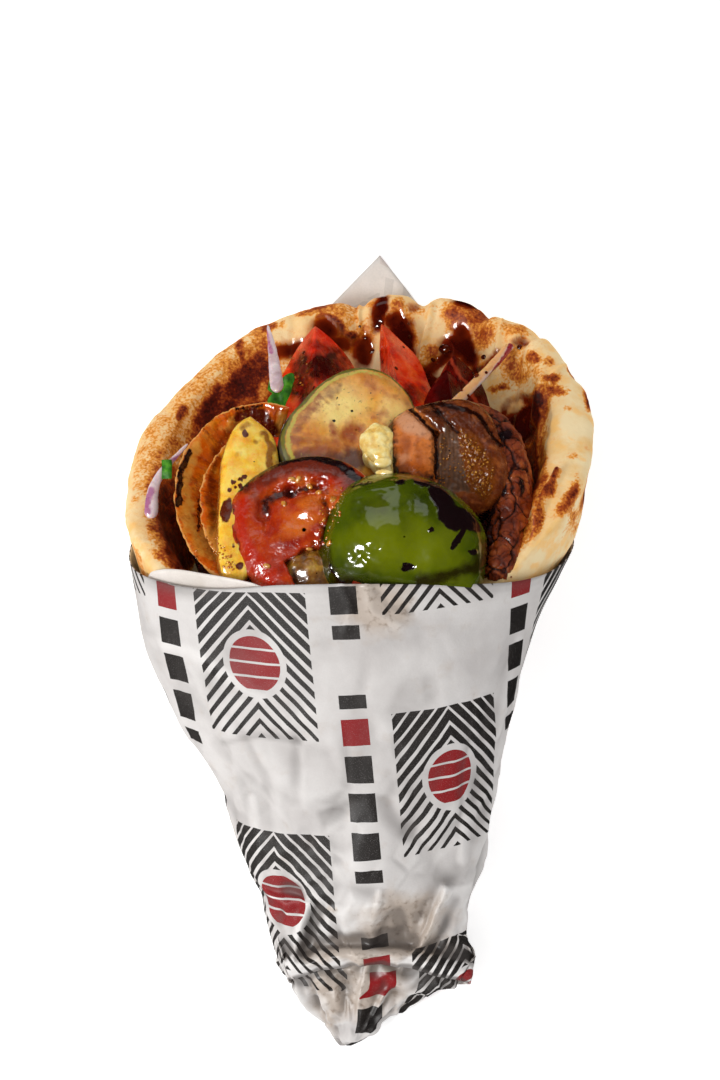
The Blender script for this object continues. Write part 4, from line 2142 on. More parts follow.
@dataclass
class Mushroom(Assembly):
    """Half mushroom: smooth cut face, dark gills, golden crumbs and a wrinkled cap."""

    shape: Round = Round((14.6, 15.6, 9.0), 3.0, 3.2)
    placement: Placement = Placement((21.0, 38.0, 55.0), (-14.0, 8.0, 14.0))
    face: Patch = Patch(
        (
            (388, 424), (391, 411), (398, 404), (406, 404), (414, 409), (424, 418), (432, 428),
            (436, 440), (436, 482), (396, 482), (389, 458),
        ),
        2.5,
    )
    gills: Patch = Patch(((437, 436), (444, 424), (458, 432), (463, 456), (472, 492), (436, 492)), 2.5)
    golden: Patch = Patch(
        ((458, 428), (478, 438), (493, 462), (497, 482), (488, 502), (470, 494), (463, 458)), 4.0
    )
    folds: Patch = Patch(
        ((400, 403), (440, 403), (474, 414), (500, 444), (480, 442), (458, 430), (436, 430)), 3.0
    )
    ridges: Depths = (
        (Stroke(((403, 404), (414, 412), (436, 433)), 3, 1, 0.8), -1.8),
        (Stroke(((436, 433), (437, 456), (436, 480)), 2.4, 1, 0.8), -1.0),
        (Stroke(((432, 405), (446, 420), (458, 431)), 2, 1, 0.8), -0.8),
        (Stroke(((412, 407), (430, 416), (446, 427)), 4, 1, 0.8), 0.9),
        (Stroke(((470, 416), (484, 432), (494, 452)), 4.5, 1, 0.8), 0.8),
        (Spot(410, 446, 22, 34, 1, 0.5), 0.7), (Spot(450, 462, 13, 30, 1, 0.6), -1.3),
        (Spot(482, 468, 14, 26, 1, 0.8, -20), 0.8),
    )
    shaded: Marks = (
        Stroke(((406, 438), (402, 456), (405, 474)), 5, 0.6, 0.9),
        Stroke(((421, 434), (419, 454), (422, 476)), 4, 0.5, 0.9), Spot(398, 470, 9, 9, 0.4, 0.9),
        Spot(429, 462, 7, 16, 0.4, 0.9), Stroke(((390, 420), (392, 440), (393, 462)), 8, 0.7, 0.9),
    )
    sheen: Marks = (
        Patch(((394, 418), (402, 408), (430, 430), (426, 440), (404, 432)), 5, 0.9),
        Spot(402, 458, 8, 5, 0.5, 0.8),
    )
    orange: Marks = (Spot(414, 472, 20, 12, 0.9, 0.8), Spot(402, 446, 10, 12, 0.5, 0.9))
    seams: Marks = (
        Stroke(((391, 420), (390, 440), (394, 462), (398, 476)), 2.4, 0.9, 0.7),
        Stroke(((392, 412), (402, 403), (414, 411), (436, 434), (437, 456), (436, 478)), 1.8, 1, 0.6),
        Stroke(((430, 405), (446, 420), (458, 432)), 1.4, 0.7, 0.8),
        Stroke(((402, 403), (440, 403), (476, 414), (500, 446)), 2.6, 0.9, 0.7),
        Spot(438, 412, 6, 3, 0.9, 0.7, 20), Spot(404, 474, 8, 3, 0.7, 0.7, 10),
        Stroke(((390, 424), (391, 446), (396, 474)), 7, 0.55, 0.9),
        Stroke(((398, 478), (436, 480)), 7, 0.6, 0.9), Stroke(((434, 436), (434, 478)), 4, 0.5, 0.9),
    )
    cap_route: tuple[Point, ...] = (
        (26.5, 53.0, 44.0), (34.0, 44.5, 49.5), (36.8, 29.0, 55.5), (32.5, 8.0, 62.0),
    )
    cap_radii: Knots = ((0.0, 2.8), (0.25, 4.8), (0.6, 5.6), (1.0, 4.2))
    cap_dark: Marks = (
        Spot(503, 490, 5, 8, 1, 0.6), Spot(505, 434, 8, 6, 0.9, 0.6),
        Spot(521, 488, 3, 10, 0.9, 0.5), Stroke(((494, 470), (494, 500), (486, 540)), 3, 0.8, 0.8),
    )

    def build_half(self) -> None:
        """Make the half mushroom."""
        form = ball("mushroom_half_flesh")
        form.move(self.placement.apply(self.shape.apply(form.places())))
        points, places = form.points(), form.places()
        face, gills, golden, folds = (
            painted(points, (patch,), 3.0) for patch in (self.face, self.gills, self.golden, self.folds)
        )
        lamellae = 0.5 + 0.5 * np.sin(places[:, 0] * 6.5 + 4.0 * fractal(places, 5.0, 146))
        form.mask("lamellae", lamellae * gills * 0.5)
        near, _, number = cell_noise(places, 1.4, 142)
        ridged = 1.0 - np.abs(fractal(places * (1.0, 0.6, 1.0), 5.0, 144, 4))
        lift = fractal(places, 8.0, 141) * 0.4 + (ridged - 0.6) * 1.3 * folds
        lift += gills * (0.5 - near) * 0.4 + golden * ((0.6 - near) * 1.0 + (number - 0.5) * 0.7)
        for ridge, height in self.ridges:
            lift += ridge.cover(points) * height
        form.raise_up(lift)
        for name, cover in (("face", face), ("gills", gills), ("golden", golden), ("folds", folds)):
            form.mask(name, cover)
        form.paint(points, 3.0, sheen=self.sheen)
        form.mask("orange", painted(points, self.orange, 4.0) * face)
        form.mask("shaded", painted(points, self.shaded, 3.0) * face)
        form.mask("seams", np.maximum(painted(points, self.seams, 1.2), 1.0 - form.facing()))
        finish = FoodFinish(
            name="grilled_mushroom_flesh", tones=((78, 26, 6), (116, 50, 14), (150, 78, 28)), mottle=3.0,
            overlays=(
                Overlay("folds", (92, 38, 14), 1.6, 0.9, 1.2),
                Overlay("face", (212, 120, 54), 2, 0.8, 1.2),
                Overlay("orange", (188, 88, 14), 4, 0.6, 1.4),
                Overlay("shaded", (150, 70, 20), 3, 0.6, 1.3),
                Overlay("sheen", (206, 142, 100), 3, 0.6, 1.4),
                Overlay("gills", (104, 62, 28), 1.2, 0.8, 1.4, 0.5),
                Overlay("lamellae", (66, 36, 16), 0.6, 0.3, 1.2),
                Overlay("golden", (120, 58, 10), 1.6, 1, 1.4, 0.16),
                Overlay("seams", (40, 8, 2), 1.2, 0.6, 1.8),
            ),
            roughness=0.18, relief_size=1.2, relief_depth=0.25, coat=0.4, coat_roughness=0.08, specks=0.3,
            specular=0.4,
        )
        form.finish(finish.build(self.effects), Slot.MUSHROOM, "mushroom_half")

    def build_cap(self) -> None:
        """Make the leathery strip of cap at the right."""
        form = strand("mushroom_cap_skin", self.cap_route, self.cap_radii, 1.2, 150, 320)
        places = form.places()
        warped = places + 1.6 * np.stack([fractal(places, 5.0, 150 + a) for a in range(3)], axis=1)
        lift = fractal(places, 9.0, 158) * 0.7
        crack = np.zeros(len(places))
        for size, stretch, depth, seed in ((6.0, 0.7, 0.55, 153), (3.2, 1.5, 0.28, 155)):
            near, far, number = cell_noise(warped * (1.0, stretch, 1.0), size, seed)
            split = 1.0 - smooth_step(0.0, 0.16, far - near)
            lift += (number - 0.5) * depth - split * depth
            crack = np.maximum(crack, split * depth * 1.6)
        form.swell(lift)
        form.tuck()
        form.mask("crack", crack)
        form.paint(form.points(), 2.5, dark=self.cap_dark)
        finish = FoodFinish(
            name="mushroom_cap_skin",
            tones=((88, 24, 2), (138, 52, 8), (176, 88, 26)), light_at=0.7, mottle=3.5,
            overlays=(
                Overlay("crack", (54, 10, 2), 0.8, 0.5, 1.6),
                Overlay("dark", (34, 18, 20), 2, 0.6, 1.6, 0.12),
            ),
            roughness=0.4, relief_size=0.7, relief_depth=0.2, coat=0.3, coat_roughness=0.1, specular=0.25,
        )
        form.finish(finish.build(self.effects), Slot.CAP, "mushroom_cap")

    def build(self) -> None:
        """Make the half and its cap."""
        self.build_half()
        self.build_cap()


def strand(
    name: str, route: tuple[Point, ...], radii: Knots, flatness: float, around: int, along: int,
) -> Form:
    """Closed strand along a smooth route, flattened in z.

    Args:
        name: Name of the piece.
        route: Points of its middle line.
        radii: Radius at each share of its length.
        flatness: Height as a share of its width.
        around: Faces around it.
        along: Faces along it.

    Returns:
        The form, closed at both ends.
    """
    shares = np.linspace(0.0, 1.0, len(route))
    lines = [tuple(zip(shares, axis)) for axis in zip(*route)]

    def middle(share: Array) -> Array:
        """Places on the middle line."""
        return np.stack([smooth_curve(line, share) for line in lines], axis=1)

    def shape(u: Array, v: Array) -> Array:
        """Places on the strand's skin.

        Args:
            u: Share of the way across the sheet.
            v: Share of the way along it.

        Returns:
            Places as rows of three numbers.
        """
        centre = middle(v)
        ahead = middle(np.clip(v + 0.01, 0.0, 1.0)) - middle(np.clip(v - 0.01, 0.0, 1.0))
        ahead /= np.linalg.norm(ahead, axis=1)[:, None]
        side = np.cross(ahead, np.array([0.0, 0.0, 1.0]))
        side /= np.linalg.norm(side, axis=1)[:, None]
        over = np.cross(side, ahead)
        end = np.clip(np.minimum(v, 1.0 - v) / 0.06, 0.0, 1.0)
        radius = smooth_curve(radii, v) * np.sqrt(1.0 - (1.0 - end) ** 2)
        turn = 2.0 * np.pi * u
        out = side * np.cos(turn)[:, None] + over * (np.sin(turn) * flatness)[:, None]
        return centre + out * radius[:, None]

    form = sheet(name, around, along, shape)
    form.close()
    return form


@dataclass
class Squash(Assembly):
    """Stick of grilled yellow squash, and the end of another below the tomato."""

    shape: Round = Round((7.3, 22.0, 4.6), 4.0, 4.0)
    placement: Placement = Placement((-27.9, 28.4, 60.0), (-17.0, 6.0, -9.0))
    taper: float = 0.34
    point_slope: float = 0.6
    end_shape: Round = Round((7.4, 6.4, 6.0), 2.4, 2.4)
    end_placement: Placement = Placement((-11.4, 9.0, 66.6), (0.0, 10.0, 0.0))
    char: Marks = (
        Spot(246, 434, 3.5, 3.5, 0.9, 0.5), Spot(234, 482, 3, 2.6, 1, 0.4),
        Spot(240, 480, 2.6, 2.4, 1, 0.4), Spot(245, 477, 3, 2.4, 1, 0.4, -20),
        Spot(241, 486, 2.6, 2.2, 1, 0.4), Spot(229, 490, 2.6, 2.2, 0.9, 0.4),
        Spot(236, 488, 1.8, 1.8, 0.9, 0.4), Spot(226, 510, 6, 12, 1, 0.4, 10),
        Spot(240, 566, 4, 4, 0.9, 0.5), Spot(233, 545, 2, 3, 0.6, 0.5),
    )
    tan: Marks = (
        Stroke(((264, 434), (271, 448), (268, 464)), 4, 0.9, 0.6), Spot(246, 426, 6, 4, 0.7, 0.7),
        Spot(239, 452, 3, 3, 0.5, 0.6), Spot(256, 441, 3, 2, 0.6, 0.6),
    )

    def build_stick(self) -> None:
        """Make the stick."""
        form = ball("yellow_squash_flesh")
        local = self.shape.apply(form.places())
        local[:, 0] *= 1.0 - self.taper * np.maximum(8.0 - local[:, 1], 0.0) / 28.0
        slope = self.point_slope * np.abs(local[:, 0] + 1.8)
        local[:, 1] -= slope * smooth_step(6.0, 18.0, local[:, 1])
        side = smooth_step(0.35, 0.9, form.normals()[:, 0]) * (local[:, 2] > -3.0)
        form.move(self.placement.apply(local))
        places = form.places()
        form.raise_up(fractal(places, 6.0, 161) * 0.35 + fractal(places, 2.0, 162) * 0.1)
        form.tuck()
        points = form.points()
        form.mask("char", painted(points, self.char, 1.2) * form.facing())
        form.paint(points, 2.0, tan=self.tan)
        form.mask("side", np.maximum(side, 1.0 - form.facing()) * 0.9)
        finish = FoodFinish(
            name="grilled_squash_flesh",
            tones=((242, 164, 24), (252, 198, 58), (255, 222, 104)), light_at=0.7, mottle=3.0,
            overlays=(
                Overlay("side", (170, 104, 20), 1.8, 0.6, 1.6),
                Overlay("tan", (158, 100, 24), 2, 0.6, 1.6), Overlay("char", (96, 30, 4), 0.9, 0.35, 3.5),
            ),
            roughness=0.2, relief_size=1.0, relief_depth=0.12, coat=0.5, scatter=0.3, scatter_reach=1.6,
            specks=0.16,
        )
        form.finish(finish.build(self.effects), Slot.SQUASH, "yellow_squash")

    def build_end(self) -> None:
        """Make the end of the second stick."""
        form = ball("squash_end_flesh", 6)
        form.move(self.end_placement.apply(self.end_shape.apply(form.places())))
        form.roughen(((4.0, 0.5), (1.6, 0.2)), 171)
        form.tuck()
        finish = FoodFinish(
            name="grilled_squash_end", tones=((96, 54, 4), (148, 94, 14), (196, 148, 46)), light_at=0.7,
            mottle=3.0, hollow=(74, 34, 6), roughness=0.3, relief_size=1.0, relief_depth=0.15,
            coat=0.7, scatter=0.2, specks=0.3,
        )
        form.finish(finish.build(self.effects), Slot.SQUASH_END, "squash_end")

    def build(self) -> None:
        """Make both."""
        self.build_stick()
        self.build_end()


@dataclass(frozen=True)
class Petal:
    """One cupped layer of onion: its centre, radii, span in degrees and sloping rim."""

    piece: str
    node: str
    centre: Pair
    radii: Pair
    span: Pair
    rim_z: float
    slope: float
    seed: int


@dataclass
class GrilledOnion(Assembly):
    """Two nested layers of grilled onion that stand on edge at the left."""

    thickness: float = 1.1
    height: float = 8.0
    lean: float = 9.0
    rim_start: float = 0.44
    rim_end: float = 0.56
    petals: tuple[Petal, ...] = (
        Petal("onion_petal_inner_layer", "onion_petal_inner", (-23.0, 28.5), (15.8, 19.4),
              (92.0, 266.0), 57.0, -0.46, 181),
        Petal("onion_petal_outer_layer", "onion_petal_outer", (-24.0, 31.0), (21.2, 24.6),
              (72.0, 262.0), 54.0, -0.50, 191),
    )
    golden: Marks = (
        Stroke(((208, 536), (216, 552), (232, 562)), 9, 1, 0.6),
        Stroke(((196, 440), (186, 480), (188, 520), (200, 552)), 6, 0.75, 0.8),
        Spot(286, 424, 9, 10, 0.9, 0.6), Spot(232, 424, 12, 6, 0.6, 0.8, -20),
    )
    shadow: Marks = (
        Stroke(((258, 420), (240, 422), (222, 440), (212, 470), (210, 510), (212, 528)), 4.5, 0.6, 0.9),
        Stroke(((240, 416), (262, 414), (272, 432)), 6, 1, 0.6), Spot(262, 440, 14, 14, 1, 0.6),
    )
    char: Marks = (
        Stroke(((190, 452), (181, 470), (178, 505)), 3, 1, 0.7),
        Stroke(((236, 409), (262, 406)), 2, 0.7, 0.7), Stroke(((199, 500), (199, 530)), 1.6, 0.7, 0.7),
    )

    def build_petal(self, petal: Petal, material: Material) -> None:
        """Make one layer.

        Args:
            petal: Its sizes.
            material: Its finish.
        """
        grid: list[tuple[Array, Array]] = []
        start = self.rim_start

        def shape(u: Array, v: Array) -> Array:
            """Places from the foot of the outer side, over the rim, to the foot inside.

            Args:
                u: Share of the way across the sheet.
                v: Share of the way along it.

            Returns:
                Places as rows of three numbers.
            """
            angle = np.radians(petal.span[0] + (petal.span[1] - petal.span[0]) * u)
            turn = np.clip((v - start) / 0.12, 0.0, 1.0) * np.pi
            away = np.maximum((start - v) / start, (v - self.rim_end) / start).clip(0.0, 1.0)
            side = np.cos(turn) * self.thickness / 2.0
            end = np.clip(np.minimum(u, 1.0 - u) / 0.04, 0.0, 1.0)
            side = side * np.sqrt(1.0 - (1.0 - end) ** 2)
            side = side * np.sqrt(1.0 - np.clip(away * 8.0 - 7.0, 0.0, 1.0) ** 2)
            drop = self.height * away + 0.8 * (1.0 - np.sin(turn))
            lean = self.lean * drop / self.height * (0.7 + 0.3 * np.sin(np.pi * u))
            around = np.stack([u * 22.0, 0.0 * u, away * 0.6], axis=1)
            wave = fractal(around, 1.0, petal.seed + 3) * 0.3
            x = petal.centre[0] + (petal.radii[0] - lean + side + wave) * np.cos(angle)
            y = petal.centre[1] + (petal.radii[1] - lean + side + wave) * np.sin(angle)
            z = petal.rim_z + petal.slope * (y - petal.centre[1]) - drop + 0.9
            grid.append((v, np.stack([u * 64.0, away * 1.6, 0.0 * u], axis=1)))
            return np.stack([x, y, z], axis=1)

        form = sheet(petal.piece, 330, 150, shape)
        over, streaks = grid[0]
        fibre = fractal(streaks, 1.0, petal.seed + 5, 4)
        places = form.places()
        form.swell(fractal(places, 5.0, petal.seed) * 0.3 + fibre * 0.16)
        form.tuck(0.8)
        points = form.points()
        rim = bell(over - 0.49, 0.022)
        form.mask("rim", rim)
        form.mask("fibre", smooth_step(-0.1, 0.9, fibre) * 0.55)
        form.mask("edge", bell(over - 0.43, 0.03) * 0.9)
        form.mask("golden", painted(points, self.golden, 3.0) * (1.0 - rim))
        form.mask("shadow", painted(points, self.shadow, 2.5) * (1.0 - rim))
        form.paint(points, 1.2, char=self.char)
        form.close()
        form.finish(material, Slot.ONION, petal.node)

    def build(self) -> None:
        """Make both layers."""
        finish = FoodFinish(
            name="grilled_onion_layer", tones=((214, 86, 4), (230, 104, 6), (248, 150, 30)), mottle=4.0,
            overlays=(
                Overlay("fibre", (146, 42, 2), 0.8, 0.6, 1.2),
                Overlay("golden", (236, 160, 62), 1.5, 0.8, 1.5),
                Overlay("shadow", (92, 18, 2), 3, 0.5, 1.5), Overlay("edge", (74, 20, 2), 0.9, 0.8, 1.5),
                Overlay("rim", (230, 160, 76), 0.7, 1, 1.6), Overlay("char", (42, 12, 4), 0.9, 0.6, 2.2),
            ),
            roughness=0.14, relief_size=1.6, relief_depth=0.2, coat=0.5,
        )
        material = finish.build(self.effects)
        for petal in self.petals:
            self.build_petal(petal, material)


@dataclass(frozen=True)
class Wedge:
    """One wedge of raw tomato: tip, foot, opening and depth, and its roll in degrees."""

    piece: str
    node: str
    tip: Point
    foot: Point
    opening: float
    depth: float
    roll: float


@dataclass
class RawTomato(Assembly):
    """Wedges of raw tomato against the back of the bread."""

    cut_share: float = 0.34
    skin_share: float = 0.32
    bright: tuple[Wedge, ...] = (
        Wedge("tomato_wedge_left_flesh", "tomato_wedge_left", (-11.4, 79.5, 19.0),
              (-11.0, 46.0, 42.0), 88.0, 0.9, 84.0),
        Wedge("tomato_wedge_middle_flesh", "tomato_wedge_middle", (5.4, 80.0, 20.0),
              (13.5, 46.0, 44.0), 56.0, 0.66, 78.0),
    )
    dark: tuple[Wedge, ...] = (
        Wedge("tomato_wedge_front_flesh", "tomato_wedge_front", (21.8, 66.0, 32.0),
              (25.0, 44.0, 42.0), 84.0, 0.9, 100.0),
        Wedge("tomato_wedge_back_flesh", "tomato_wedge_back", (23.8, 71.0, 24.0),
              (27.0, 48.0, 36.0), 80.0, 0.9, 90.0),
    )
    sauced: Marks = (
        Spot(322, 366, 26, 15, 0.95, 0.7, -10),
        Patch(((282, 392), (296, 352), (306, 352), (318, 400), (300, 404)), 6, 0.8),
        Stroke(((314, 346), (338, 352), (352, 372)), 6, 0.6, 0.8), Spot(412, 395, 12, 12, 0.7, 0.8),
        Spot(462, 384, 30, 34, 0.4, 0.9), Spot(450, 396, 18, 14, 0.8, 0.7),
        Stroke(((380, 352), (386, 372), (392, 386)), 5, 0.5, 0.8),
    )
    pale: Marks = (
        Stroke(((374, 343), (384, 326), (396, 342)), 5, 0.7, 0.7), Spot(378, 344, 6, 5, 0.8, 0.7),
        Stroke(((312, 327), (304, 342), (296, 358)), 6, 0.8, 0.8),
        Stroke(((449, 358), (462, 378), (476, 402)), 2, 0.6, 0.8),
        Stroke(((449, 358), (436, 382)), 1.6, 0.5, 0.8),
    )

    def build_wedge(self, wedge: Wedge, material: Material, seed: int) -> None:
        """Make one wedge.

        Args:
            wedge: Its sizes.
            material: Its finish.
            seed: Which unevenness it has.
        """
        tip, foot = Vector(wedge.tip), Vector(wedge.foot)
        half = (tip - foot).length / 2.0
        aim = (tip - foot).to_track_quat("Y", "Z").to_matrix()
        turn = aim @ Matrix.Rotation(math.radians(wedge.roll), 3, "Y")
        spread = math.radians(wedge.opening) / 2.0

        def shape(u: Array, v: Array) -> Array:
            """Places round the two cut faces and the skin between them.

            Args:
                u: Share of the way across the sheet.
                v: Share of the way along it.

            Returns:
                Places as rows of three numbers.
            """
            along = -np.cos(np.pi * v)
            radius = np.sqrt(np.maximum(1.0 - along**2, 0.0)) * wedge.depth
            out = np.clip(np.minimum(u, 1.0 - u) / self.cut_share, 0.0, 1.0)
            swing = np.clip((u - self.cut_share) / self.skin_share, 0.0, 1.0) * 2.0 - 1.0
            reach = radius * out
            x, z = reach * np.cos(swing * spread), -reach * np.sin(swing * spread)
            local = np.stack([x, along, z], axis=1) * half
            return local @ np.array(turn).T + np.array((tip + foot) / 2.0)

        form = sheet(wedge.piece, 150, 110, shape)
        form.close()
        form.relax(2)
        places = form.places()
        form.swell(fractal(places, 9.0, seed, 2) * 0.45)
        points = form.points()
        form.paint(points, 3.0, sauced=self.sauced)
        form.paint(points, 2.0, pale=self.pale)
        form.finish(material, Slot.RAW_TOMATO, wedge.node)

    def finish(self, name: str, tones: Tones, gloss: float) -> FoodFinish:
        """Wet tomato flesh in the colours and with the gloss given.

        Args:
            name: Name of the material.
            tones: Its dark, middle and light colours.
            gloss: Weight of its wet coat.

        Returns:
            The finish.
        """
        return FoodFinish(
            name=name, tones=tones, mottle=5.0,
            overlays=(
                Overlay("pale", (226, 84, 48), 3, 0.5, 1.5), Overlay("sauced", (66, 5, 2), 3, 0.5, 1.5),
            ),
            roughness=0.2, relief_size=2.2, relief_depth=0.3, coat=gloss, specular=0.75 * gloss,
        )

    def build(self) -> None:
        """Make the four wedges."""
        bright = self.finish(
            "raw_tomato_flesh", ((190, 20, 2), (236, 48, 6), (255, 104, 36)), 0.4,
        ).build(self.effects)
        dark = self.finish(
            "sauced_tomato_flesh", ((52, 0, 0), (92, 3, 2), (150, 14, 6)), 0.14,
        ).build(self.effects)
        for index, wedge in enumerate(self.bright):
            self.build_wedge(wedge, bright, 201 + 5 * index)
        for index, wedge in enumerate(self.dark):
            self.build_wedge(wedge, dark, 221 + 5 * index)


@dataclass
class RedOnion(Assembly):
    """Raw slivers of red onion: two at the back and one along the left wall."""

    routes: dict[str, tuple[Point, ...]] = field(
        default_factory=lambda: {
            "red_onion_left": ((-23.4, 79.0, 23.0), (-22.0, 71.0, 28.0), (-20.6, 59.5, 36.0)),
            "red_onion_right": ((38.4, 73.5, 26.5), (31.5, 65.0, 33.0), (23.0, 55.0, 41.0)),
            "red_onion_far": ((-42.5, 45.0, 45.0), (-50.0, 35.5, 47.0), (-51.4, 25.5, 50.0)),
        }
    )
    radii: Knots = ((0.0, 0.4), (0.5, 1.1), (0.9, 1.7), (1.0, 1.2))
    even_radii: Knots = ((0.0, 1.1), (0.5, 1.2), (1.0, 1.3))
    purple: Marks = (
        Stroke(((264, 322), (267, 338), (271, 352)), 2.2, 0.9, 0.7),
        Stroke(((152, 490), (146, 505), (147, 512)), 3.2, 1, 0.5),
        Stroke(((188, 452), (172, 460)), 2, 0.8, 0.6),
    )
    stained: Marks = (Stroke(((512, 332), (492, 360), (470, 385), (455, 402)), 6, 1, 0.7),)
    pink: Marks = (Stroke(((514, 338), (508, 352), (494, 372), (484, 386)), 2.4, 1, 0.5),)

    def build(self) -> None:
        """Make the slivers."""
        finish = FoodFinish(
            name="raw_red_onion", tones=((196, 168, 170), (218, 198, 200), (238, 226, 226)), mottle=3.0,
            overlays=(
                Overlay("stained", (236, 176, 112), 3, 0.4, 1.4),
                Overlay("purple", (176, 108, 148), 1.5, 0.6, 1.2),
                Overlay("pink", (158, 44, 56), 1, 0.4, 1.6),
            ),
            roughness=0.25, relief_size=1.0, relief_depth=0.08, coat=0.4, scatter=0.5, scatter_reach=2.0,
        )
        material = finish.build(self.effects)
        for name, route in self.routes.items():
            radii = self.even_radii if name == "red_onion_right" else self.radii
            form = strand(name + "_flesh", route, radii, 0.6, 36, 120)
            form.swell(fractal(form.places(), 3.0, 241) * 0.12)
            points = form.points()
            form.paint(points, 0.8, purple=self.purple, pink=self.pink)
            form.paint(points, 1.0, stained=self.stained)
            form.finish(material, Slot.RED_ONION, name)


@dataclass(frozen=True)
class Bit:
    """Small rounded bit laid where a picture point shows: half sizes and turn in degrees."""

    x: float
    y: float
    size: Point
    turn: float = 0.0


def morsels(name: str, bits: Sequence[Bit], detail: int = 2) -> Form:
    """Bits that lie half sunk on the pieces made before them.

    Args:
        name: Name of the piece.
        bits: The bits.
        detail: How finely each is divided.

    Returns:
        One form that holds all of them.
    """
    bm = bmesh.new()
    for bit in bits:
        place, normal = PILE.top(bit.x, bit.y)
        turn = normal.to_track_quat("Z", "Y").to_matrix() @ Matrix.Rotation(math.radians(bit.turn), 3, "Z")
        lift = place + normal * (bit.size[2] * 0.3)
        matrix = Matrix.Translation(lift * MM) @ turn.to_4x4() @ Matrix.Diagonal((*bit.size, 1.0))
        bmesh.ops.create_icosphere(bm, subdivisions=detail, radius=MM, matrix=matrix)
    bmesh.ops.recalc_face_normals(bm, faces=bm.faces)
    return Form(name, bm)


def strewn(patch: Patch, count: int, radii: Pair, seed: int) -> list[Bit]:
    """Bits of uneven size strewn over a patch of the picture.

    Args:
        patch: Where they lie.
        count: How many are tried for.
        radii: Smallest and largest half size.
        seed: Which spread it is.

    Returns:
        The bits that fall inside the patch.
    """
    random = np.random.default_rng(seed)
    corners = np.array(patch.corners)
    spots = random.uniform(corners.min(axis=0), corners.max(axis=0), (count, 2))
    kept = spots[patch.cover(spots) > 0.5]
    bits = []
    for x, y in kept:
        size = random.uniform(*radii) * random.uniform(0.7, 1.3, 3)
        bits.append(Bit(float(x), float(y), tuple(size), random.uniform(0.0, 180.0)))
    return bits


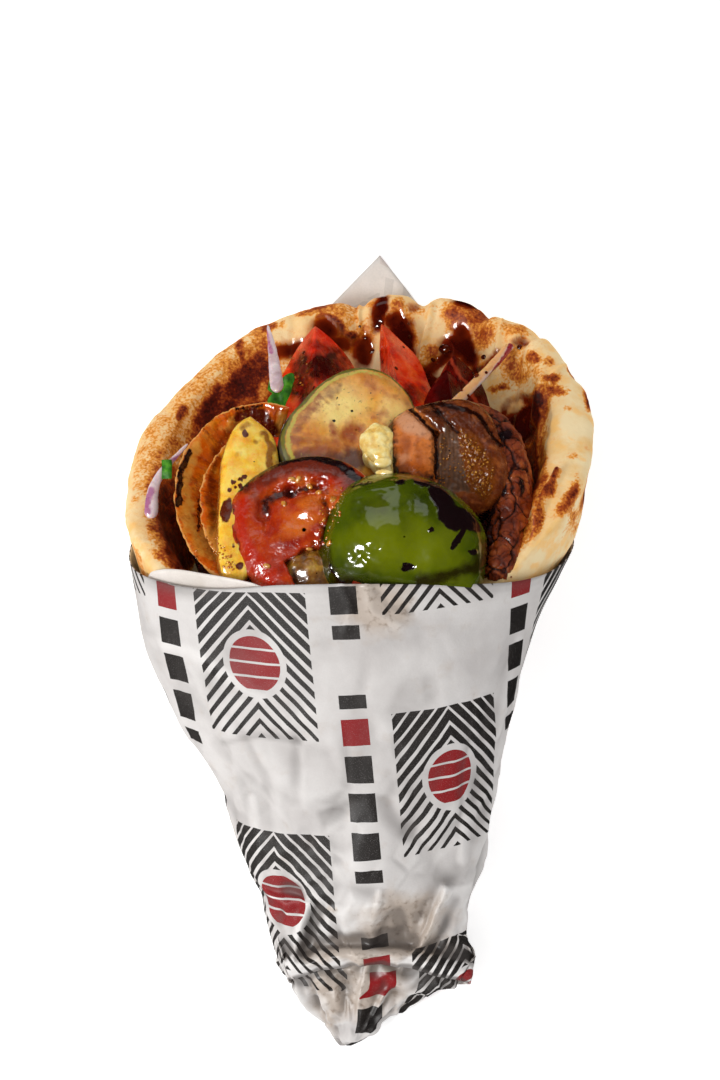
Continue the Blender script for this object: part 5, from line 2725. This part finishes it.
@dataclass
class Toppings(Assembly):
    """Small things on the pile: beads of sauce, seeds, golden crumbs, juice and green herbs."""

    beads: tuple[tuple[float, float, float, float, float], ...] = (
        (378, 325, 3.6, 4.6, 0.0), (443, 350, 4.8, 6.4, -20.0), (433, 361, 2.6, 2.2, 0.0),
        (482, 357, 2.6, 3.4, 0.0), (476, 374, 3.6, 3.0, 30.0), (519, 347, 2.8, 2.6, 0.0),
        (371, 351, 2.0, 4.0, 30.0), (365, 339, 2.4, 2.0, 0.0), (409, 325, 1.6, 1.6, 0.0),
        (411, 337, 1.6, 1.8, 0.0), (405, 346, 1.6, 1.6, 0.0), (398, 368, 2.2, 2.4, 0.0),
        (381, 362, 1.6, 1.6, 0.0), (451, 372, 1.6, 2.2, 0.0), (441, 400, 1.6, 1.4, 0.0),
        (360, 328, 1.4, 1.4, 0.0), (475, 373, 3.0, 2.6, 0.0), (293, 377, 2.2, 2.8, 0.0),
        (296, 393, 1.8, 2.2, 0.0), (302, 352, 1.8, 2.6, 20.0), (312, 388, 2.2, 1.6, 0.0),
        (470, 395, 1.6, 2.0, 0.0), (461, 389, 1.4, 1.8, 0.0), (488, 372, 1.6, 2.0, 0.0),
    )
    seeds: tuple[Point, ...] = (
        (299, 481, 20.0), (308, 486, -30.0), (311, 549, 60.0), (266, 566, -20.0), (283, 503, 0.0),
        (292, 478, 70.0), (318, 492, 40.0), (333, 500, 80.0), (328, 544, 30.0),
    )
    crumbs: tuple[tuple[Patch, int], ...] = (
        (Patch(((456, 430), (476, 440), (494, 466), (494, 486), (484, 500), (464, 478)), 2), 420),
        (Patch(((438, 438), (458, 436), (466, 476), (440, 486)), 2), 70),
    )
    juice: tuple[tuple[Patch, int], ...] = (
        (Patch(((203, 536), (214, 533), (238, 558), (236, 572), (214, 564)), 2), 110),
        (Patch(((182, 520), (194, 540), (202, 560), (190, 556)), 2), 30),
        (Patch(((318, 490), (344, 486), (342, 530), (320, 548)), 2), 40),
        (Patch(((285, 368), (300, 345), (312, 350), (300, 390)), 2), 22),
    )
    seed_size: Point = (0.62, 0.95, 0.45)
    per_mm: float = 4.1
    bead_flatness: float = 0.42
    leaf_weld: float = 0.00002
    leaf_thickness: float = 0.25

    def build_beads(self) -> None:
        """Make the beads of thick sauce."""
        bits = []
        for x, y, across, along, turn in self.beads:
            height = self.bead_flatness * (across + along) / 2.0
            size = tuple(half / self.per_mm for half in (across, along, height))
            bits.append(Bit(x, y, size, turn))
        finish = FoodFinish(
            name="sauce_beads", tones=((40, 4, 2), (74, 16, 3), (120, 44, 8)), mottle=2.0,
            roughness=0.08, relief_depth=0.01, specular=0.6,
        )
        morsels("sauce_bead_group", bits, 3).finish(finish.build(self.effects), Slot.CORE)

    def build_seeds(self) -> None:
        """Make the loose tomato seeds."""
        finish = FoodFinish(
            name="tomato_seeds", tones=((170, 96, 20), (206, 140, 48), (226, 178, 88)),
            mottle=1.2, roughness=0.2, relief_depth=0.03, scatter=0.2,
        )
        bits = [Bit(x, y, self.seed_size, turn) for x, y, turn in self.seeds]
        morsels("tomato_seed_group", bits, 2).finish(finish.build(self.effects), Slot.TOMATO)

    def build_strewn(self) -> None:
        """Make the golden crumbs on the mushroom and the drops of juice."""
        groups = (
            ("golden_crumb_group", self.crumbs, Slot.MUSHROOM, (0.1, 0.28), 0.12,
             ((104, 50, 6), (158, 92, 18), (214, 154, 58))),
            ("juice_drop_group", self.juice, Slot.ONION, (0.14, 0.34), 0.06,
             ((150, 74, 10), (186, 104, 24), (214, 144, 54))),
        )
        for seed, (name, patches, slot, radii, roughness, tones) in enumerate(groups):
            finish = FoodFinish(
                name=name.replace("_group", "s"), tones=tones, mottle=1.0, roughness=roughness,
                relief_depth=0.01,
            )
            bits = [
                bit
                for index, (patch, count) in enumerate(patches)
                for bit in strewn(patch, count, radii, 301 + 10 * seed + index)
            ]
            morsels(name, bits, 2).finish(finish.build(self.effects), slot)

    def build_herbs(self) -> None:
        """Make the lobed leaf behind the zucchini and the cut piece of herb on the red onion."""
        finish = FoodFinish(
            name="green_herb", tones=((26, 80, 4), (50, 122, 12), (96, 166, 34)),
            mottle=1.8, roughness=0.6, relief_size=0.8, relief_depth=0.1, specular=0.2,
        ).build(self.effects)
        places = {
            "parsley_leaf_green": ((284.0, 395.0), 4.4, 0.24, 1.0),
            "cut_herb_green": ((168.0, 471.0), 1.25, 0.0, 1.9),
        }
        for name, ((x, y), radius, lobes, length) in places.items():
            place, normal = PILE.top(x, y)
            facing = (normal * 0.3 + Vector((0.0, 0.0, 1.0))).normalized()
            ahead = facing.cross(Vector((1.0, 0.0, 0.0))).normalized()
            frame_turn = np.array([ahead.cross(facing), ahead, facing]).T

            def shape(u: Array, v: Array) -> Array:
                """Places on the leaf, from its middle out to its edge."""
                turn = 2.0 * np.pi * u
                edge = radius * (1.0 + lobes * np.cos(5.0 * turn) + lobes * 0.3 * np.cos(11.0 * turn))
                reach = edge * v
                flat_x, flat_y = reach * np.cos(turn), reach * np.sin(turn)
                if length > 1.0:
                    flat_x = radius * np.clip(1.4 * np.cos(turn), -1.0, 1.0) * v
                    flat_y = radius * length * np.clip(1.4 * np.sin(turn), -1.0, 1.0) * v
                rise = 1.6 + 0.35 * np.sin(flat_x * 1.7 + 0.6) + 0.35 * np.cos(flat_y * 1.3)
                local = np.stack([flat_x, flat_y, rise], axis=1)
                return local @ frame_turn.T + np.array(place)

            form = sheet(name, 90, 14, shape)
            form.close(self.leaf_weld)
            form.reshape(self.thicken)
            form.finish(finish, Slot.ONION)

    def thicken(self, bm: BMesh) -> None:
        """Give a leaf its thickness."""
        bmesh.ops.solidify(bm, geom=bm.faces[:], thickness=self.leaf_thickness * MM)

    def build(self) -> None:
        """Make them all."""
        self.build_beads()
        self.build_seeds()
        self.build_strewn()
        self.build_herbs()


# ---- Studio ----


@dataclass(frozen=True)
class Light:
    """Rectangular studio light that faces a point of the object."""

    name: str
    at: Point
    size: Pair
    power: float
    colour: Rgb = (1.0, 1.0, 1.0)
    gloss_only: bool = False
    aim: Point = (0.0, 0.02, 0.04)

    def build(self) -> None:
        """Make the light."""
        data = bpy.data.lights.new(self.name, "AREA")
        data.shape = "RECTANGLE"
        data.size, data.size_y = self.size
        data.energy = self.power
        data.color = self.colour
        lamp = bpy.data.objects.new(self.name, data)
        bpy.context.scene.collection.objects.link(lamp)
        lamp.location = self.at
        lamp.visible_diffuse = not self.gloss_only
        lamp.rotation_euler = (Vector(self.aim) - Vector(self.at)).to_track_quat("-Z", "Y").to_euler()


@dataclass
class Studio:
    """Plain pale floor and soft lights, in metres."""

    floor_half: float = 3.0
    floor_glow: float = 0.5
    world: float = 0.66
    lights: tuple[Light, ...] = (
        Light("key_light", (-0.72, -0.34, 0.85), (0.3, 0.3), 6.0, (1.0, 0.985, 0.96)),
        Light("gloss_light", (-0.70, -0.40, 0.85), (0.46, 0.46), 24.0, gloss_only=True),
        Light("back_light", (-0.1, 1.05, 0.75), (0.9, 0.5), 1.0, (0.97, 0.99, 1.0)),
    )

    def build_floor(self) -> None:
        """Make the floor just under the wrap."""
        bm = bmesh.new()
        bmesh.ops.create_grid(bm, x_segments=4, y_segments=4, size=self.floor_half)
        bmesh.ops.translate(bm, verts=bm.verts, vec=(0.0, 0.0, -0.0002))
        mesh = bpy.data.meshes.new("floor")
        bm.to_mesh(mesh)
        bm.free()
        material, _, shader = new_material("pale_floor")
        shader.inputs["Base Color"].default_value = (0.92, 0.92, 0.92, 1.0)
        shader.inputs["Roughness"].default_value = 0.9
        shader.inputs["Specular IOR Level"].default_value = 0.0
        shader.inputs["Emission Color"].default_value = (1.0, 1.0, 1.0, 1.0)
        shader.inputs["Emission Strength"].default_value = self.floor_glow
        mesh.materials.append(material)
        floor = bpy.data.objects.new("floor", mesh)
        bpy.context.scene.collection.objects.link(floor)
        floor.visible_glossy = False

    def build_world(self) -> None:
        """Make the pale surroundings."""
        world = bpy.data.worlds.new("studio")
        world.use_nodes = True
        background = world.node_tree.nodes["Background"]
        background.inputs["Color"].default_value = (1.0, 1.0, 1.0, 1.0)
        background.inputs["Strength"].default_value = self.world
        bpy.context.scene.world = world
        world.cycles_visibility.glossy = False

    def build(self) -> None:
        """Make the studio."""
        bpy.context.scene.view_settings.view_transform = "Standard"
        self.build_floor()
        self.build_world()
        for light in self.lights:
            light.build()
        CAMERA.build()


def main() -> None:
    """Build the studio and every part of the wrap."""
    logging.basicConfig(level=logging.INFO, format="%(name)s %(message)s")
    Studio().build()
    effects = Effects()
    for assembly in (
        PaperWrap, PitaBread, SaucedCore, GreenPepper, TomatoSlice, Zucchini, Mushroom, Squash,
        GrilledOnion, RawTomato, RedOnion, Toppings,
    ):
        assembly(effects).build()
        LOG.info("%s is done", assembly.__name__)


if __name__ == "__main__":
    main()
